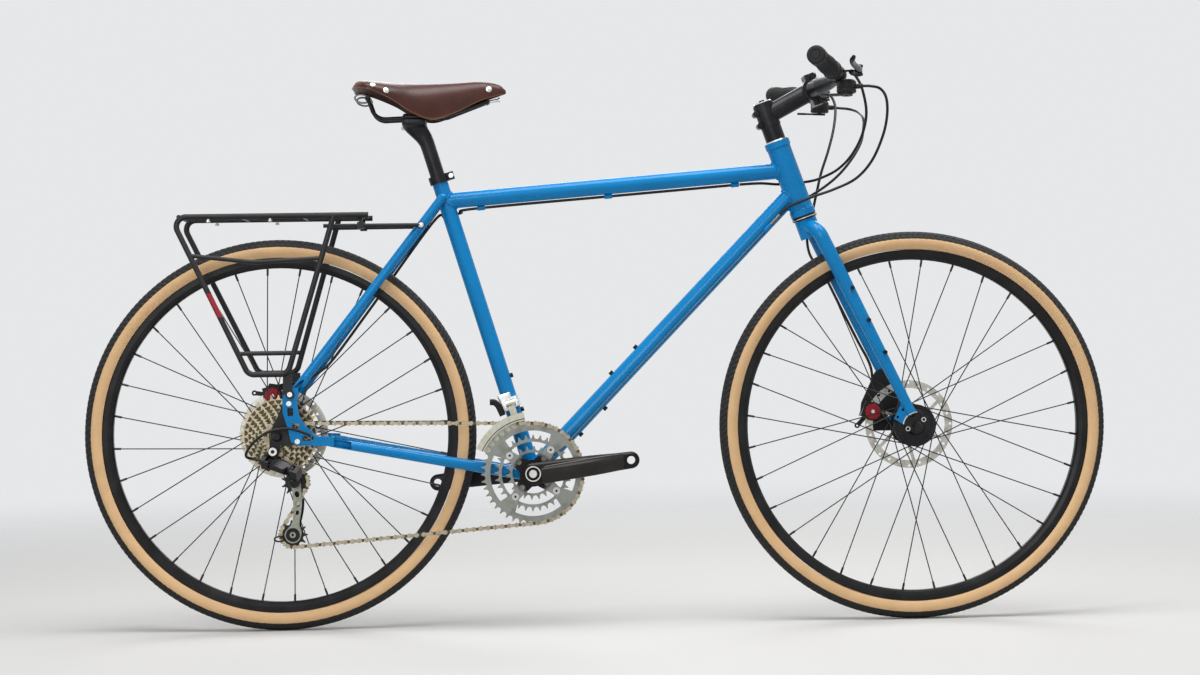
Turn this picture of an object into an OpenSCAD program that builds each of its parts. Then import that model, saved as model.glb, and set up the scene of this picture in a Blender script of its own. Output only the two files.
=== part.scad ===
// Flat-bar touring bicycle with disc brakes and a rear rack, built from its separate pieces.
// Millimetres. X points forward, Y to the rider's left and Z up. The origin lies on the ground,
// under the middle of the wheelbase.

/* [Wheels] */
// Distance between the two wheel axles
wheelbase = 1138; // [1100:1:1180]
// Outside diameter of a tyre
tyre_d = 700; // [694:1:706]
// Width of a tyre
tyre_w = 40; // [36:0.5:42]
// Thickness of the tyre casing
tyre_wall = 3; // [2:0.25:4]
// Number of spokes in a wheel
spoke_count = 32; // [24:8:40]
// Diameter of a spoke
spoke_d = 2; // [1.8:0.1:2.3]
// Diameter of a brake rotor
rotor_d = 160; // [150:1:164]
// Width between the rear dropouts
rear_hub_w = 135; // [134:0.5:137]
// Width between the fork ends
front_hub_w = 100; // [99:0.5:104]
// Outside diameter of the front hub shell
front_hub_d = 68; // [56:1:72]

/* [Frame] */
// Height of the axles above the bottom bracket
bb_drop = 73; // [66:1:78]
// Length of the chainstays, axle to axle
chainstay_l = 456; // [446:1:464]
// Angle of the seat tube to the ground
seat_angle = 73; // [72:0.25:74]
// Length of the seat tube from the bottom bracket axis to its top
seat_tube_l = 559; // [540:1:575]
// Angle of the head tube to the ground
head_angle = 70.5; // [70:0.25:72]
// Length of the head tube
head_tube_l = 142; // [132:1:156]
// Outside diameter of the seat tube and of the top tube
seat_tube_d = 28.6; // [28:0.1:29.4]
// Outside diameter of the down tube
down_tube_d = 31.8; // [30:0.1:35]
// Outside diameter of the head tube
head_tube_d = 43; // [42:0.5:46]
// Wall of the frame tubes
tube_wall = 0.9; // [0.7:0.1:1.4]
// Forward offset of the front axle from the steering axis
fork_rake = 53; // [48:1:58]
// Distance along the steering axis from the front axle to the crown
fork_l = 416; // [408:1:424]

/* [Cockpit] */
// Width of the handlebar, tip to tip
bar_w = 660; // [620:2:700]
// Diameter of the handlebar in the stem clamp
bar_clamp_d = 31.8; // [31:0.1:32.4]
// Diameter of the handlebar under the grips
bar_d = 22.2; // [21.8:0.1:23]
// Forward reach of the stem
stem_l = 94; // [84:1:110]
// Outside diameter of a grip
grip_d = 32.5; // [30:0.5:36]
// Length of a grip
grip_l = 128; // [110:1:132]
// Diameter of a cable housing
housing_d = 5; // [4:0.1:5.2]

/* [Saddle] */
// Diameter of the seatpost
seatpost_d = 26.6; // [26:0.1:26.8]
// Distance along the seat tube from the bottom bracket axis to the saddle rails
saddle_h = 666; // [650:1:690]
// Length of the saddle
saddle_l = 274; // [260:1:290]
// Width of the saddle
saddle_w = 168; // [150:1:180]
// Thickness of the leather
leather_t = 4.5; // [3.5:0.25:5.5]

/* [Drivetrain] */
// Length of a crank
crank_l = 175; // [165:0.5:180]
// Diameter of the thread for a pedal
pedal_thread_d = 14.3; // [14:0.1:15]
// Crank angle above level at rest, right crank forward
crank_angle = 7.2; // [0:0.1:20]
// Teeth on the outer chainring
ring_teeth = 44; // [42:1:45]
// Pitch of the chain
pitch = 12.7; // [12.6:0.05:12.8]
// Distance between the two pulleys of the rear derailleur
cage_l = 93.6; // [90:0.2:97]

/* [Rack] */
// Height of the rack deck above the ground
rack_h = 740; // [730:1:760]
// Diameter of the rack tube
rack_tube_d = 10; // [9:0.5:11]
// Width of the rack between the middles of its side rails
rack_w = 124; // [116:1:134]

/* [Hidden] */
$fn = 64;

// Colours of the finishes
paint = [0.04, 0.42, 0.74];
black = [0.06, 0.06, 0.065];
rubber = [0.05, 0.05, 0.05];
silver = [0.75, 0.75, 0.74];
steel = [0.55, 0.55, 0.52];
leather = [0.28, 0.14, 0.11];
red = [0.6, 0.13, 0.17];

// Gap of a running or sliding fit, on the radius
run_gap = 0.05;
// Gap between two pieces that pass each other
pass_gap = 0.4;
// Small overlap that lets a cut clear a face
over = 1;

// Main points, in the middle plane
axle_h = tyre_d / 2;
rear_at = [-wheelbase / 2, 0, axle_h];
front_at = [wheelbase / 2, 0, axle_h];
bb_at = rear_at + [sqrt(pow(chainstay_l, 2) - pow(bb_drop, 2)), 0, -bb_drop];
seat_dir = [-cos(seat_angle), 0, sin(seat_angle)];
seat_top = bb_at + seat_tube_l * seat_dir;
steer_dir = [-cos(head_angle), 0, sin(head_angle)];
steer_foot = front_at - fork_rake * [sin(head_angle), 0, cos(head_angle)];

// Heights along the steering axis, from the front axle
headset_ring_h = 8;
head_low = fork_l + headset_ring_h;
head_high = head_low + head_tube_l;

function steer_at(s) = steer_foot + s * steer_dir;
function unit(v) = v / norm(v);
function mix(a, b, t) = a + (b - a) * t;
function flip_y(p) = [p.x, -p.y, p.z];

module up(z) {
  translate([0, 0, z]) children();
}

// Turns local Z into the direction from a to b, with the origin at a
module along(a, b) {
  d = unit(b - a);
  translate(a) rotate([0, acos(d.z), atan2(d.y, d.x)]) children();
}

// Straight round bar or cone from a to b
module bar(a, b, r, r2 = undef) {
  along(a, b) cylinder(r1 = r, r2 = is_undef(r2) ? r : r2, h = norm(b - a));
}

// Round bend of tube radius r and bend radius R at the corner p, from direction u to direction v
module elbow(p, u, v, r, R) {
  turn = acos(u * v);
  n = unit(v - u * (u * v));
  c = p - u * (R * tan(turn / 2)) + n * R;
  z = cross(-n, u);
  multmatrix([[-n.x, u.x, z.x, c.x], [-n.y, u.y, z.y, c.y], [-n.z, u.z, z.z, c.z], [0, 0, 0, 1]])
    rotate_extrude(angle = turn) translate([R, 0]) circle(r);
}

// Bent tube along pts: straight runs that reach a little way into slightly fuller bends
module pipe(pts, r, R) {
  n = len(pts);
  seat = 0.6;
  fuller = 0.12;
  dir = [for (i = [0 : n - 2]) unit(pts[i + 1] - pts[i])];
  cut = [for (i = [0 : n - 1]) i == 0 || i == n - 1 ? 0 : R * tan(acos(dir[i - 1] * dir[i]) / 2) - seat];
  for (i = [0 : n - 2]) bar(pts[i] + dir[i] * cut[i], pts[i + 1] - dir[i] * cut[i + 1], r);
  for (i = [1 : n - 2]) elbow(pts[i], dir[i - 1], dir[i], r + fuller, R);
}

// Smooth route through hand-chosen points, with n steps between neighbours
function spline(a, b, c, d, t) = 0.5 * (2 * b + (c - a) * t + (2 * a - 5 * b + 4 * c - d) * t * t
  + (3 * b - a - 3 * c + d) * t * t * t);
function smooth(p, n) = let (m = len(p) - 1)
  [for (i = [0 : m - 1]) for (j = [0 : n - 1])
    spline(p[max(i - 1, 0)], p[i], p[i + 1], p[min(i + 2, m)], j / n), p[m]];

// Eight-sided tube of radius r swept along a route
module cable(route, r, side = [0, 1, 0]) {
  k = 8;
  m = len(route) - 1;
  heading = [for (i = [0 : m]) unit(route[min(i + 1, m)] - route[max(i - 1, 0)])];
  points = [for (i = [0 : m]) let (n = unit(cross(heading[i], side)), b = cross(n, heading[i]))
    for (j = [0 : k - 1]) route[i] + r * (cos(360 * j / k) * n + sin(360 * j / k) * b)];
  faces = concat([[for (j = [0 : k - 1]) k - 1 - j]], [[for (j = [0 : k - 1]) m * k + j]],
    [for (i = [0 : m - 1]) for (j = [0 : k - 1]) let (a = i * k + j, b = i * k + (j + 1) % k)
      each [[a, b, b + k], [a, b + k, a + k]]]);
  polyhedron(points, faces);
}

// Plate of thickness t drawn in the side view, from the face at at.y towards +Y
module side_plate(at, t) {
  translate(at) rotate([90, 0, 0]) up(-t) linear_extrude(t) children();
}

// Local Z is turned to -Y, so a profile about an axle is drawn as [radius, -y]
module on_axle(at) {
  translate(at) rotate([90, 0, 0]) children();
}

// Socket screw: head up from the local origin, shank down
module screw(d, l, head_d, head_h) {
  up(-l) cylinder(d = d, h = l + head_h / 2);
  difference() {
    cylinder(d = head_d, h = head_h);
    up(head_h / 2) cylinder(d = head_d * 0.55, h = head_h, $fn = 6);
  }
}

// Frame tubes

tt_low = bb_at + 511 * seat_dir;
tt_high = steer_at(head_low + 87);
dt_high = steer_at(head_low + 47);
tube_r = seat_tube_d / 2;
bb_shell_d = 40;
bb_shell_w = 68;
cup_bore_d = 35;
head_bore_d = 38;
head_ring_l = 11;
head_ring_d = head_tube_d + 3;

// Solid head tube, for mitring the other tubes
module head_tube_body() {
  translate(steer_at(head_low)) rotate([0, head_angle - 90, 0]) rotate_extrude() polygon([
    [0, 0], [head_ring_d / 2, 0], [head_ring_d / 2, head_ring_l], [head_tube_d / 2, head_ring_l + 1.5],
    [head_tube_d / 2, head_tube_l - head_ring_l - 1.5], [head_ring_d / 2, head_tube_l - head_ring_l],
    [head_ring_d / 2, head_tube_l], [0, head_tube_l]]);
}

module head_tube() {
  color(paint) difference() {
    head_tube_body();
    bar(steer_at(head_low - over), steer_at(head_high + over), head_bore_d / 2);
  }
}

module tube(a, b, d) {
  difference() {
    bar(a, b, d / 2);
    bar(a - unit(b - a), b + unit(b - a), d / 2 - tube_wall);
  }
}

module seat_tube_body() {
  bar(bb_at, seat_top, tube_r);
}

module bb_body() {
  on_axle(bb_at) cylinder(d = bb_shell_d, h = bb_shell_w, center = true);
}

// Split guide under the top tube that holds the rear brake housing
module housing_guide(at, dir) {
  along(at, at + dir) up(-7) difference() {
    cylinder(d = housing_d + 3.4, h = 14);
    up(-over) cylinder(d = housing_d + 0.4, h = 14 + 2 * over);
  }
}

tt_dir = unit(tt_high - tt_low);
tt_under = [tt_dir.z, 0, -tt_dir.x];
brake_low = tube_r + housing_d / 2 + 1.2;
guide_spots = [62, 292, 522];

module top_tube() {
  color(paint) {
    difference() {
      tube(tt_low, tt_high, seat_tube_d);
      seat_tube_body();
      head_tube_body();
    }
    for (s = guide_spots) housing_guide(tt_low + s * tt_dir + brake_low * tt_under, tt_dir);
  }
}

dt_dir = unit(dt_high - bb_at);
dt_up = [-dt_dir.z, 0, dt_dir.x];
stop_spot = norm(dt_high - bb_at) - 92;
shift_run_y = 17;
shift_low = down_tube_d / 2 - 7;

// Boss for a barrel adjuster on the side of the down tube
module shift_stop(side) {
  a = bb_at + stop_spot * dt_dir - shift_low * dt_up + [0, side * shift_run_y, 0];
  bar(a, a + 16 * dt_dir, 3.6);
}

module down_tube() {
  color(paint) {
    difference() {
      union() {
        bar(bb_at, dt_high, down_tube_d / 2);
        for (side = [-1, 1]) shift_stop(side);
      }
      bar(bb_at, dt_high, down_tube_d / 2 - tube_wall);
      bb_body();
      seat_tube_body();
      head_tube_body();
      for (side = [-1, 1]) {
        a = bb_at + (stop_spot - over) * dt_dir - shift_low * dt_up + [0, side * shift_run_y, 0];
        bar(a, a + 20 * dt_dir, 1.4);
      }
      boss_holes();
    }
  }
}

slot_l = 36;
module seat_tube() {
  color(paint) difference() {
    bar(bb_at, seat_top, tube_r);
    bar(bb_at, seat_top + seat_dir, seatpost_d / 2 + run_gap);
    bb_body();
    // Slit that lets the collar close the tube on the post
    translate(seat_top) rotate([0, seat_angle - 90, 0]) translate([-tube_r - over, -1, -slot_l])
      cube([tube_r, 2, slot_l + over]);
    boss_holes();
  }
}

module bottom_bracket_shell() {
  color(paint) difference() {
    bb_body();
    on_axle(bb_at) cylinder(d = cup_bore_d, h = bb_shell_w + 2 * over, center = true);
  }
}

// Rear triangle

plate_in = rear_hub_w / 2;
axle_plate_t = 5;
drop_t = 6;
drop_in = plate_in + axle_plate_t;
drop_mid = drop_in + drop_t / 2;

function at_hub(x, z) = rear_at + [x, 0, z];

chainstay_r = 11;
chainstay_tip_r = 7.6;
stay_wall = 1.1;
cs_front = bb_at + [-6, 24, -5];
cs_rear = at_hub(84, -10) + [0, drop_mid, 0];
ss_high = bb_at + 517 * seat_dir + [-4, tube_r + 3, 0];
ss_low = at_hub(30, 76) + [0, drop_mid, 0];
ss_d = 16;
bridge_d = 12;

function on_seatstay(t) = mix(ss_high, ss_low, t);
function on_chainstay(t) = mix(cs_front, cs_rear, t);

module chainstay_body() {
  bar(cs_front, cs_rear, chainstay_r, chainstay_tip_r);
}

module stays(side) {
  mirror([0, side < 0 ? 1 : 0, 0]) {
    difference() {
      union() {
        chainstay_body();
        translate(cs_rear) sphere(r = chainstay_tip_r + 0.1);
      }
      bar(cs_front, cs_rear, chainstay_r - stay_wall, chainstay_tip_r - stay_wall);
      bb_body();
      seat_tube_body();
      // Clear of the bearing cup, outside the shell
      on_axle(bb_at) up(-bb_shell_w) cylinder(d = bb_cup_d + 1, h = bb_shell_w / 2);
      drop_slot();
      drop_flat();
    }
    difference() {
      union() {
        bar(ss_high, ss_low, ss_d / 2);
        translate(ss_high) sphere(r = ss_d / 2 + 0.1);
        translate(ss_low) sphere(r = ss_d / 2 + 0.1);
      }
      bar(ss_high, ss_low, ss_d / 2 - stay_wall);
      seat_tube_body();
      drop_slot();
      drop_flat();
    }
  }
}

// Slot in the ends of the stays for the dropout plate
module drop_slot() {
  translate(rear_at + [0, drop_in - 0.01, -100]) cube([130, drop_t + 0.02, 187]);
}

// The ends of the stays are flat outside, flush with the dropout
module drop_flat() {
  translate(rear_at + [0, drop_in + drop_t, -100]) cube([140, 20, 230]);
}

module rear_stays() {
  color(paint) {
    for (side = [-1, 1]) stays(side);
    difference() {
      bar(flip_y(on_seatstay(0.26)), on_seatstay(0.26), bridge_d / 2);
      for (side = [-1, 1]) mirror([0, side < 0 ? 1 : 0, 0]) bar(ss_high, ss_low, ss_d / 2);
    }
    difference() {
      bar(flip_y(on_chainstay(0.17)), on_chainstay(0.17), bridge_d / 2 - 1);
      for (side = [-1, 1]) mirror([0, side < 0 ? 1 : 0, 0])
        chainstay_body();
    }
    side_plate(rear_at + [0, drop_in, 0], drop_t) dropout_outline();
    side_plate(rear_at - [0, drop_in + drop_t, 0], drop_t) dropout_outline();
  }
}

rack_eye = [24, 74];
plate_bolt = [22, 58];
plate_bolt_low = [36, -9];
bolt_d = 5;

// Painted dropout in front of the axle, with three windows
module dropout_outline() {
  difference() {
    polygon([[13, 86], [38, 86], [42, 50], [66, 0], [100, -2], [100, -18], [33, -16], [24, -9],
      [19, 15], [11, 40], [10, 62]]);
    translate([94, 57]) circle(r = 58);
    translate([19, 36]) square([10, 14]);
    translate([27, 14]) square([12, 9]);
    translate([44, -8]) square([20, 8]);
    for (p = [rack_eye, plate_bolt, plate_bolt_low]) translate(p) circle(d = bolt_d + 0.2);
  }
}

axle_d = 10;
hanger_at = [-7, -26];

// Bolt-on axle plate; the right one has the derailleur hanger
module axle_plate_outline(hanger) {
  difference() {
    union() {
      polygon([[13, 66], [30, 66], [30, 48], [17, 30], [20, 2], [44, -3], [44, -14], [12, -17], [-10, -14],
        [-11, 12], [1, 36]]);
      if (hanger) {
        translate(hanger_at) circle(r = 10);
        translate([-14, -26]) square([18, 20]);
      }
    }
    circle(d = axle_d + 0.1);
    if (hanger) translate(hanger_at) circle(d = 8.2);
    for (p = [plate_bolt, plate_bolt_low]) translate(p) circle(d = bolt_d + 0.2);
  }
}

module axle_plates() {
  color(black) {
    side_plate(rear_at + [0, plate_in, 0], axle_plate_t) axle_plate_outline(false);
    side_plate(rear_at - [0, plate_in + axle_plate_t, 0], axle_plate_t) axle_plate_outline(true);
  }
}

// Fasteners of the frame

st_front = [sin(seat_angle), 0, cos(seat_angle)];
boss_gap = 64;
rack_tab_t = 3;
// Bottle bosses: distance up the seat tube and the down tube
boss_spots = [
  for (s = [113, 113 + boss_gap]) [bb_at + s * seat_dir + tube_r * st_front, st_front],
  for (s = [226, 226 + boss_gap]) [bb_at + s * dt_dir + down_tube_d / 2 * dt_up, dt_up],
  for (s = [108, 108 + boss_gap]) [bb_at + s * dt_dir - down_tube_d / 2 * dt_up, -dt_up]];

module boss_holes() {
  for (b = boss_spots) bar(b[0] - 4 * b[1], b[0] + 2 * b[1], bolt_d / 2 + 0.1);
}

collar_h = 14;
collar_t = 3.4;

module collar() {
  translate(seat_top) rotate([0, seat_angle - 90, 0]) {
    difference() {
      union() {
        up(-collar_h) cylinder(d = seat_tube_d + 2 * collar_t, h = collar_h);
        translate([tube_r, -7, -collar_h]) cube([14, 14, collar_h]);
      }
      up(-collar_h - over) cylinder(d = seat_tube_d + 0.1, h = collar_h + 2 * over);
      translate([0, -1, -collar_h - over]) cube([tube_r + 20, 2, collar_h + 2 * over]);
      translate([tube_r + 9, 10, -collar_h / 2]) rotate([90, 0, 0]) cylinder(d = 5.2, h = 20);
    }
    translate([tube_r + 9, -7, -collar_h / 2]) rotate([90, 0, 0]) screw(5, 13.5, 8, 5);
  }
}

module side_screw(p, y, side, l) {
  translate(rear_at + [p.x, side * y, p.y]) rotate([side > 0 ? -90 : 90, 0, 0])
    screw(bolt_d, l, 9, 4);
}

module frame_fasteners() {
  color(black) {
    collar();
    for (b = boss_spots) along(b[0], b[0] + b[1]) screw(bolt_d, 3.5, 8.5, 5);
    for (side = [-1, 1]) {
      side_screw(rack_eye, drop_in + drop_t + rack_tab_t, side, drop_t + rack_tab_t);
      for (p = [plate_bolt, plate_bolt_low]) side_screw(p, drop_in + drop_t, side, drop_t + axle_plate_t);
    }
  }
}

// Bearing cups of the headset and the bottom bracket

steerer_d = 28.6;
spindle_d = 24;
cup_seat_l = 14;
bb_cup_w = 11;
bb_cup_d = 43;
crown_gap = 0.3;

// Local Z runs up the steering axis
module on_steer(s) {
  translate(steer_at(s)) rotate([0, head_angle - 90, 0]) children();
}

module bearing_cups() {
  bore = steerer_d / 2 + run_gap;
  color(black) {
    on_steer(head_low) rotate_extrude() polygon([
      [bore, -headset_ring_h + crown_gap], [head_ring_d / 2 - 1.5, -headset_ring_h + crown_gap],
      [head_ring_d / 2, -headset_ring_h + 2], [head_ring_d / 2, -3], [head_ring_d / 2 - 1, -2],
      [head_ring_d / 2 - 1, 0], [head_bore_d / 2, 0], [head_bore_d / 2, cup_seat_l], [bore, cup_seat_l]]);
    on_steer(head_high) rotate_extrude() polygon([
      [bore, -cup_seat_l], [head_bore_d / 2, -cup_seat_l], [head_bore_d / 2, 0],
      [head_ring_d / 2 - 2, 0], [head_ring_d / 2 - 3, 2.5], [bore, 2.5]]);
    for (side = [-1, 1]) on_axle(bb_at) rotate([side > 0 ? 180 : 0, 0, 0]) rotate_extrude() {
      polygon([[spindle_d / 2 + run_gap, bb_shell_w / 2 - 20], [cup_bore_d / 2, bb_shell_w / 2 - 20],
        [cup_bore_d / 2, bb_shell_w / 2], [bb_cup_d / 2, bb_shell_w / 2],
        [bb_cup_d / 2, bb_shell_w / 2 + bb_cup_w - 2], [bb_cup_d / 2 - 3, bb_shell_w / 2 + bb_cup_w],
        [spindle_d / 2 + run_gap, bb_shell_w / 2 + bb_cup_w]]);
    }
  }
}

// Rear rack

rack_r = rack_tube_d / 2;
rack_foot_y = drop_in + drop_t + 0.2 + rack_r;
rack_y = rack_w / 2;
rack_z = rack_h - axle_h;
rack_rear = -183;
rack_front = 165;
strut_r = 3.5;
strut_z = rack_z - 18;
strut_y = 42;
strut_clip_x = 150;

function leg_y(z) = mix(rack_foot_y, rack_y, (z - 110) / (rack_z - 110));
function leg_rear(z) = at_hub(mix(-48, rack_rear + 3, (z - 110) / (rack_z - 110)), z) + [0, leg_y(z), 0];
function leg_front(z) = at_hub(mix(21, 104, (z - 110) / (rack_z - 110)), z) + [0, leg_y(z), 0];
// Where the struts meet the seatstays
strut_t = (ss_high.z - axle_h - strut_z) / (ss_high.z - ss_low.z);
strut_end = on_seatstay(strut_t) + [0, ss_d / 2 + 3.2, 0];
strut_slope = (strut_end.y - strut_y) / (strut_end.x - rear_at.x - strut_clip_x);
strut_tail = at_hub(84, strut_z) + [0, strut_y + (84 - strut_clip_x) * strut_slope, 0];

module rack_side() {
  pipe([at_hub(rack_front, rack_z) + [0, rack_y, 0], at_hub(rack_rear, rack_z) + [0, rack_y, 0],
    leg_rear(110), leg_front(110), leg_front(rack_z - 1)], rack_r, 17);
  // Sagging brace and low brace between the legs
  mid = at_hub(-36, rack_z - 82) + [0, leg_y(rack_z - 82), 0];
  pipe([leg_rear(rack_z - 69), mid, leg_front(rack_z - 76)], rack_r - 1.2, 160);
  bar(leg_rear(147), leg_front(147), rack_r - 1.2);
  // Tab that bolts to the dropout
  side_plate([rear_at.x, drop_in + drop_t + 0.1, axle_h], rack_tab_t - 0.1) difference() {
    union() {
      translate(rack_eye) circle(r = 8);
      translate([rack_eye.x - 12, rack_eye.y]) square([16, 36]);
    }
    translate(rack_eye) circle(d = bolt_d + 0.2);
  }
  // Clip for the strut, under the front of the deck
  difference() {
    union() {
      translate(at_hub(strut_clip_x - 6, strut_z - 6) + [0, strut_y - 6, 0]) cube([12, 12, 12]);
      translate(at_hub(strut_clip_x - 3, strut_z) + [0, strut_y - 4, 0]) cube([6, 8, 18]);
    }
    bar(strut_tail, strut_end, strut_r + 0.1);
  }
}
module rear_rack() {
  color(black) {
    for (side = [-1, 1]) mirror([0, side < 0 ? 1 : 0, 0]) {
      rack_side();
      difference() {
        union() {
          bar(strut_tail, strut_end, strut_r);
          translate(strut_end + [0, -2.5, 0]) rotate([-90, 0, 0]) cylinder(r = 6, h = 5);
        }
        bar(ss_high, ss_low, ss_d / 2 + 0.1);
      }
      bar(at_hub(rack_rear + 12, rack_z) + [0, 20, 0], at_hub(rack_front - 5, rack_z) + [0, 20, 0], rack_r - 1.2);
    }
    for (x = [rack_rear + 14, -60, 48, strut_clip_x]) {
      p = at_hub(x, rack_z) + [0, rack_y, 0];
      bar(flip_y(p), p, rack_r - 1);
    }
  }
}

// Front derailleur

chain_y = -59;
fd_band_at = bb_at + 131 * seat_dir;
fd_band_h = 19;
fd_pivot_y = -50;
fd_pivot_r = 3;
fd_in = chain_y + 7;
fd_out = chain_y - 7;
fd_plate_t = 1.2;

module on_seat_tube(at) {
  translate(at) rotate([0, seat_angle - 90, 0]) children();
}

module front_derailleur_clamp() {
  color(silver) on_seat_tube(fd_band_at) {
    difference() {
      union() {
        up(-fd_band_h / 2) cylinder(d = seat_tube_d + 5, h = fd_band_h);
        translate([-12, -38, -fd_band_h / 2]) cube([24, 28, fd_band_h]);
        translate([-5, 10, -fd_band_h / 2]) cube([10, 14, fd_band_h]);
        // Ears of the pivot
        for (x = [-12, 9]) translate([x, fd_pivot_y - 6, -6]) cube([3, 20, 12]);
      }
      up(-fd_band_h) cylinder(d = seat_tube_d + 0.1, h = 2 * fd_band_h);
      translate([-6, 12, -fd_band_h]) cube([12, 14, fd_band_h * 0.9]);
    }
    translate([-13, fd_pivot_y, 0]) rotate([0, 90, 0]) cylinder(r = fd_pivot_r, h = 26);
  }
}

// Curved plate of the cage: part of a ring about the bottom bracket
module fd_plate(y, low, high) {
  side_plate([bb_at.x, y, bb_at.z], fd_plate_t) intersection() {
    difference() {
      circle(r = high);
      circle(r = low);
    }
    polygon([[0, 0], [-18, 130], [-150, 130], [-150, 68]]);
  }
}

module front_derailleur_cage() {
  color(steel) {
    fd_plate(fd_out - fd_plate_t, 95.5, 110);
    fd_plate(fd_in, 84, 108);
    // Bridges over and behind the chain
    for (a = [104, 150]) translate(bb_at + [104 * cos(a), 0, 104 * sin(a)]) rotate([0, -a, 0])
      translate([-2, fd_out - fd_plate_t / 2, -5]) cube([4, fd_in - fd_out + fd_plate_t, 10]);
    // Arm that swings on the pivot
    on_seat_tube(fd_band_at) translate([0, fd_pivot_y, 0]) difference() {
      union() {
        translate([-8.6, 0, 0]) rotate([0, 90, 0]) cylinder(r = 6, h = 17.2);
        translate([-6, -3, -34]) cube([12, 6, 32]);
      }
      translate([-20, 0, 0]) rotate([0, 90, 0]) cylinder(r = fd_pivot_r + run_gap, h = 40);
    }
  }
}

// Disc brakes

rotor_t = 1.8;
pad_r = 11;
pad_gap = 0.3;
pad_t = 2;
pad_in = 8;
rotor_pad_r = rotor_d / 2 - pad_in;
caliper_r = 17;
caliper_in = 13.5;
caliper_out = 14;
caliper_slot = rotor_t / 2 + 0.7;
knob_r = 14.5;
knob_t = 3.8;
arm_t = 3;
arm_l = 36;
arm_a = -157;
arm_pin_r = 4;

// Caliper in its own frame: the origin is the pad centre on the rotor plane, local X points away
// from the hub, local Y points outboard
module caliper_body() {
  difference() {
    rotate([90, 0, 0]) up(-caliper_out) linear_extrude(caliper_in + caliper_out) {
      circle(r = caliper_r);
      translate([0, -caliper_r + 2]) square([18, 2 * caliper_r - 4]);
    }
    translate([-40, -caliper_slot, -40]) cube([40 + pad_in + 2, 2 * caliper_slot, 80]);
    rotate([90, 0, 0]) cylinder(r = pad_r + 0.2, h = 2 * (rotor_t / 2 + pad_gap + pad_t + 0.1), center = true);
    translate([0, caliper_out - 12, 0]) rotate([-90, 0, 0]) cylinder(r = arm_pin_r + run_gap, h = 20);
  }
  for (side = [-1, 1]) rotate([90 * side, 0, 0]) up(rotor_t / 2 + pad_gap)
    cylinder(r = pad_r, h = pad_t);
  // Cable stop on the body
  translate([8, 6, -caliper_r - 8]) difference() {
    cube([9, 9, 12]);
    translate([4.5, 4.5, -over]) cylinder(d = housing_d + 0.2, h = 14);
  }
}

module pad_knob() {
  rotate([90, 0, 0]) up(caliper_in + 0.1) linear_extrude(knob_t) difference() {
    circle(r = knob_r);
    for (i = [0 : 11]) rotate(30 * i) translate([knob_r + 0.8, 0]) circle(r = 1.8, $fn = 16);
  }
}

module caliper_arm() {
  translate([0, caliper_out + pass_gap, 0]) rotate([-90, 0, 0]) {
    linear_extrude(arm_t) difference() {
      union() {
        circle(r = 9);
        rotate(arm_a) translate([-4, 0]) square([8, arm_l]);
        rotate(arm_a) translate([0, arm_l]) circle(r = 5);
      }
      rotate(arm_a) translate([0, arm_l]) circle(r = 2);
    }
    up(-10) cylinder(r = arm_pin_r, h = 11);
  }
}

rear_rotor_y = 48.5;
front_rotor_y = 36;
rear_pad_a = 105;
front_pad_a = 160;

module at_pad(hub, rotor_y, angle) {
  translate(hub + [rotor_pad_r * cos(angle), rotor_y, rotor_pad_r * sin(angle)]) rotate([0, -angle, 0])
    children();
}

// Bracket between the rear caliper and the left axle plate
module rear_bracket() {
  bracket_y = rear_rotor_y + 2.3;
  side_plate([rear_at.x, bracket_y, axle_h], 4.6) difference() {
    polygon([[-34, 74], [-30, 58], [14, 44], [30, 44], [30, 64], [2, 88], [-26, 92]]);
    translate([rotor_pad_r * cos(rear_pad_a), rotor_pad_r * sin(rear_pad_a)]) circle(r = caliper_r - 1);
  }
  for (p = [[22, 51], [17, 58]]) translate(rear_at + [p.x, bracket_y + 4, p.y]) rotate([-90, 0, 0])
    cylinder(r = 3.6, h = plate_in - bracket_y - 4);
}

module rear_caliper() {
  color(black) {
    at_pad(rear_at, rear_rotor_y, rear_pad_a) caliper_body();
    rear_bracket();
  }
  color(red) at_pad(rear_at, rear_rotor_y, rear_pad_a) pad_knob();
}

module rear_caliper_arm() {
  color(black) at_pad(rear_at, rear_rotor_y, rear_pad_a) caliper_arm();
}

// Axles with their quick-release skewers

skewer_nut_d = 17;
skewer_nut_l = 11;
qr_pin_r = 3;
qr_head_d = 17;
qr_head_l = 15;

// Axle and skewer along Y, with the nut on the right and the cam head on the left
module axle_set(at, half, face) {
  on_axle(at) {
    difference() {
      cylinder(d = axle_d, h = 2 * half, center = true);
      cylinder(d = 5.4, h = 2 * half + 2, center = true);
    }
    difference() {
      union() {
        up(-face - 6) cylinder(d = 5, h = 2 * face + 12);
        up(face) rotate_extrude() polygon([[0, 0], [skewer_nut_d / 2, 0],
          [skewer_nut_d / 2, 4], [skewer_nut_d / 2 - 3, skewer_nut_l], [0, skewer_nut_l]]);
        up(-face - qr_head_l) cylinder(d = qr_head_d, h = qr_head_l);
      }
      // Cross hole and slot for the cam of the lever
      up(-face - qr_head_l / 2 - 1) rotate([90, 0, 0])
        cylinder(r = qr_pin_r + run_gap, h = 40, center = true);
    }
  }
}

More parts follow.
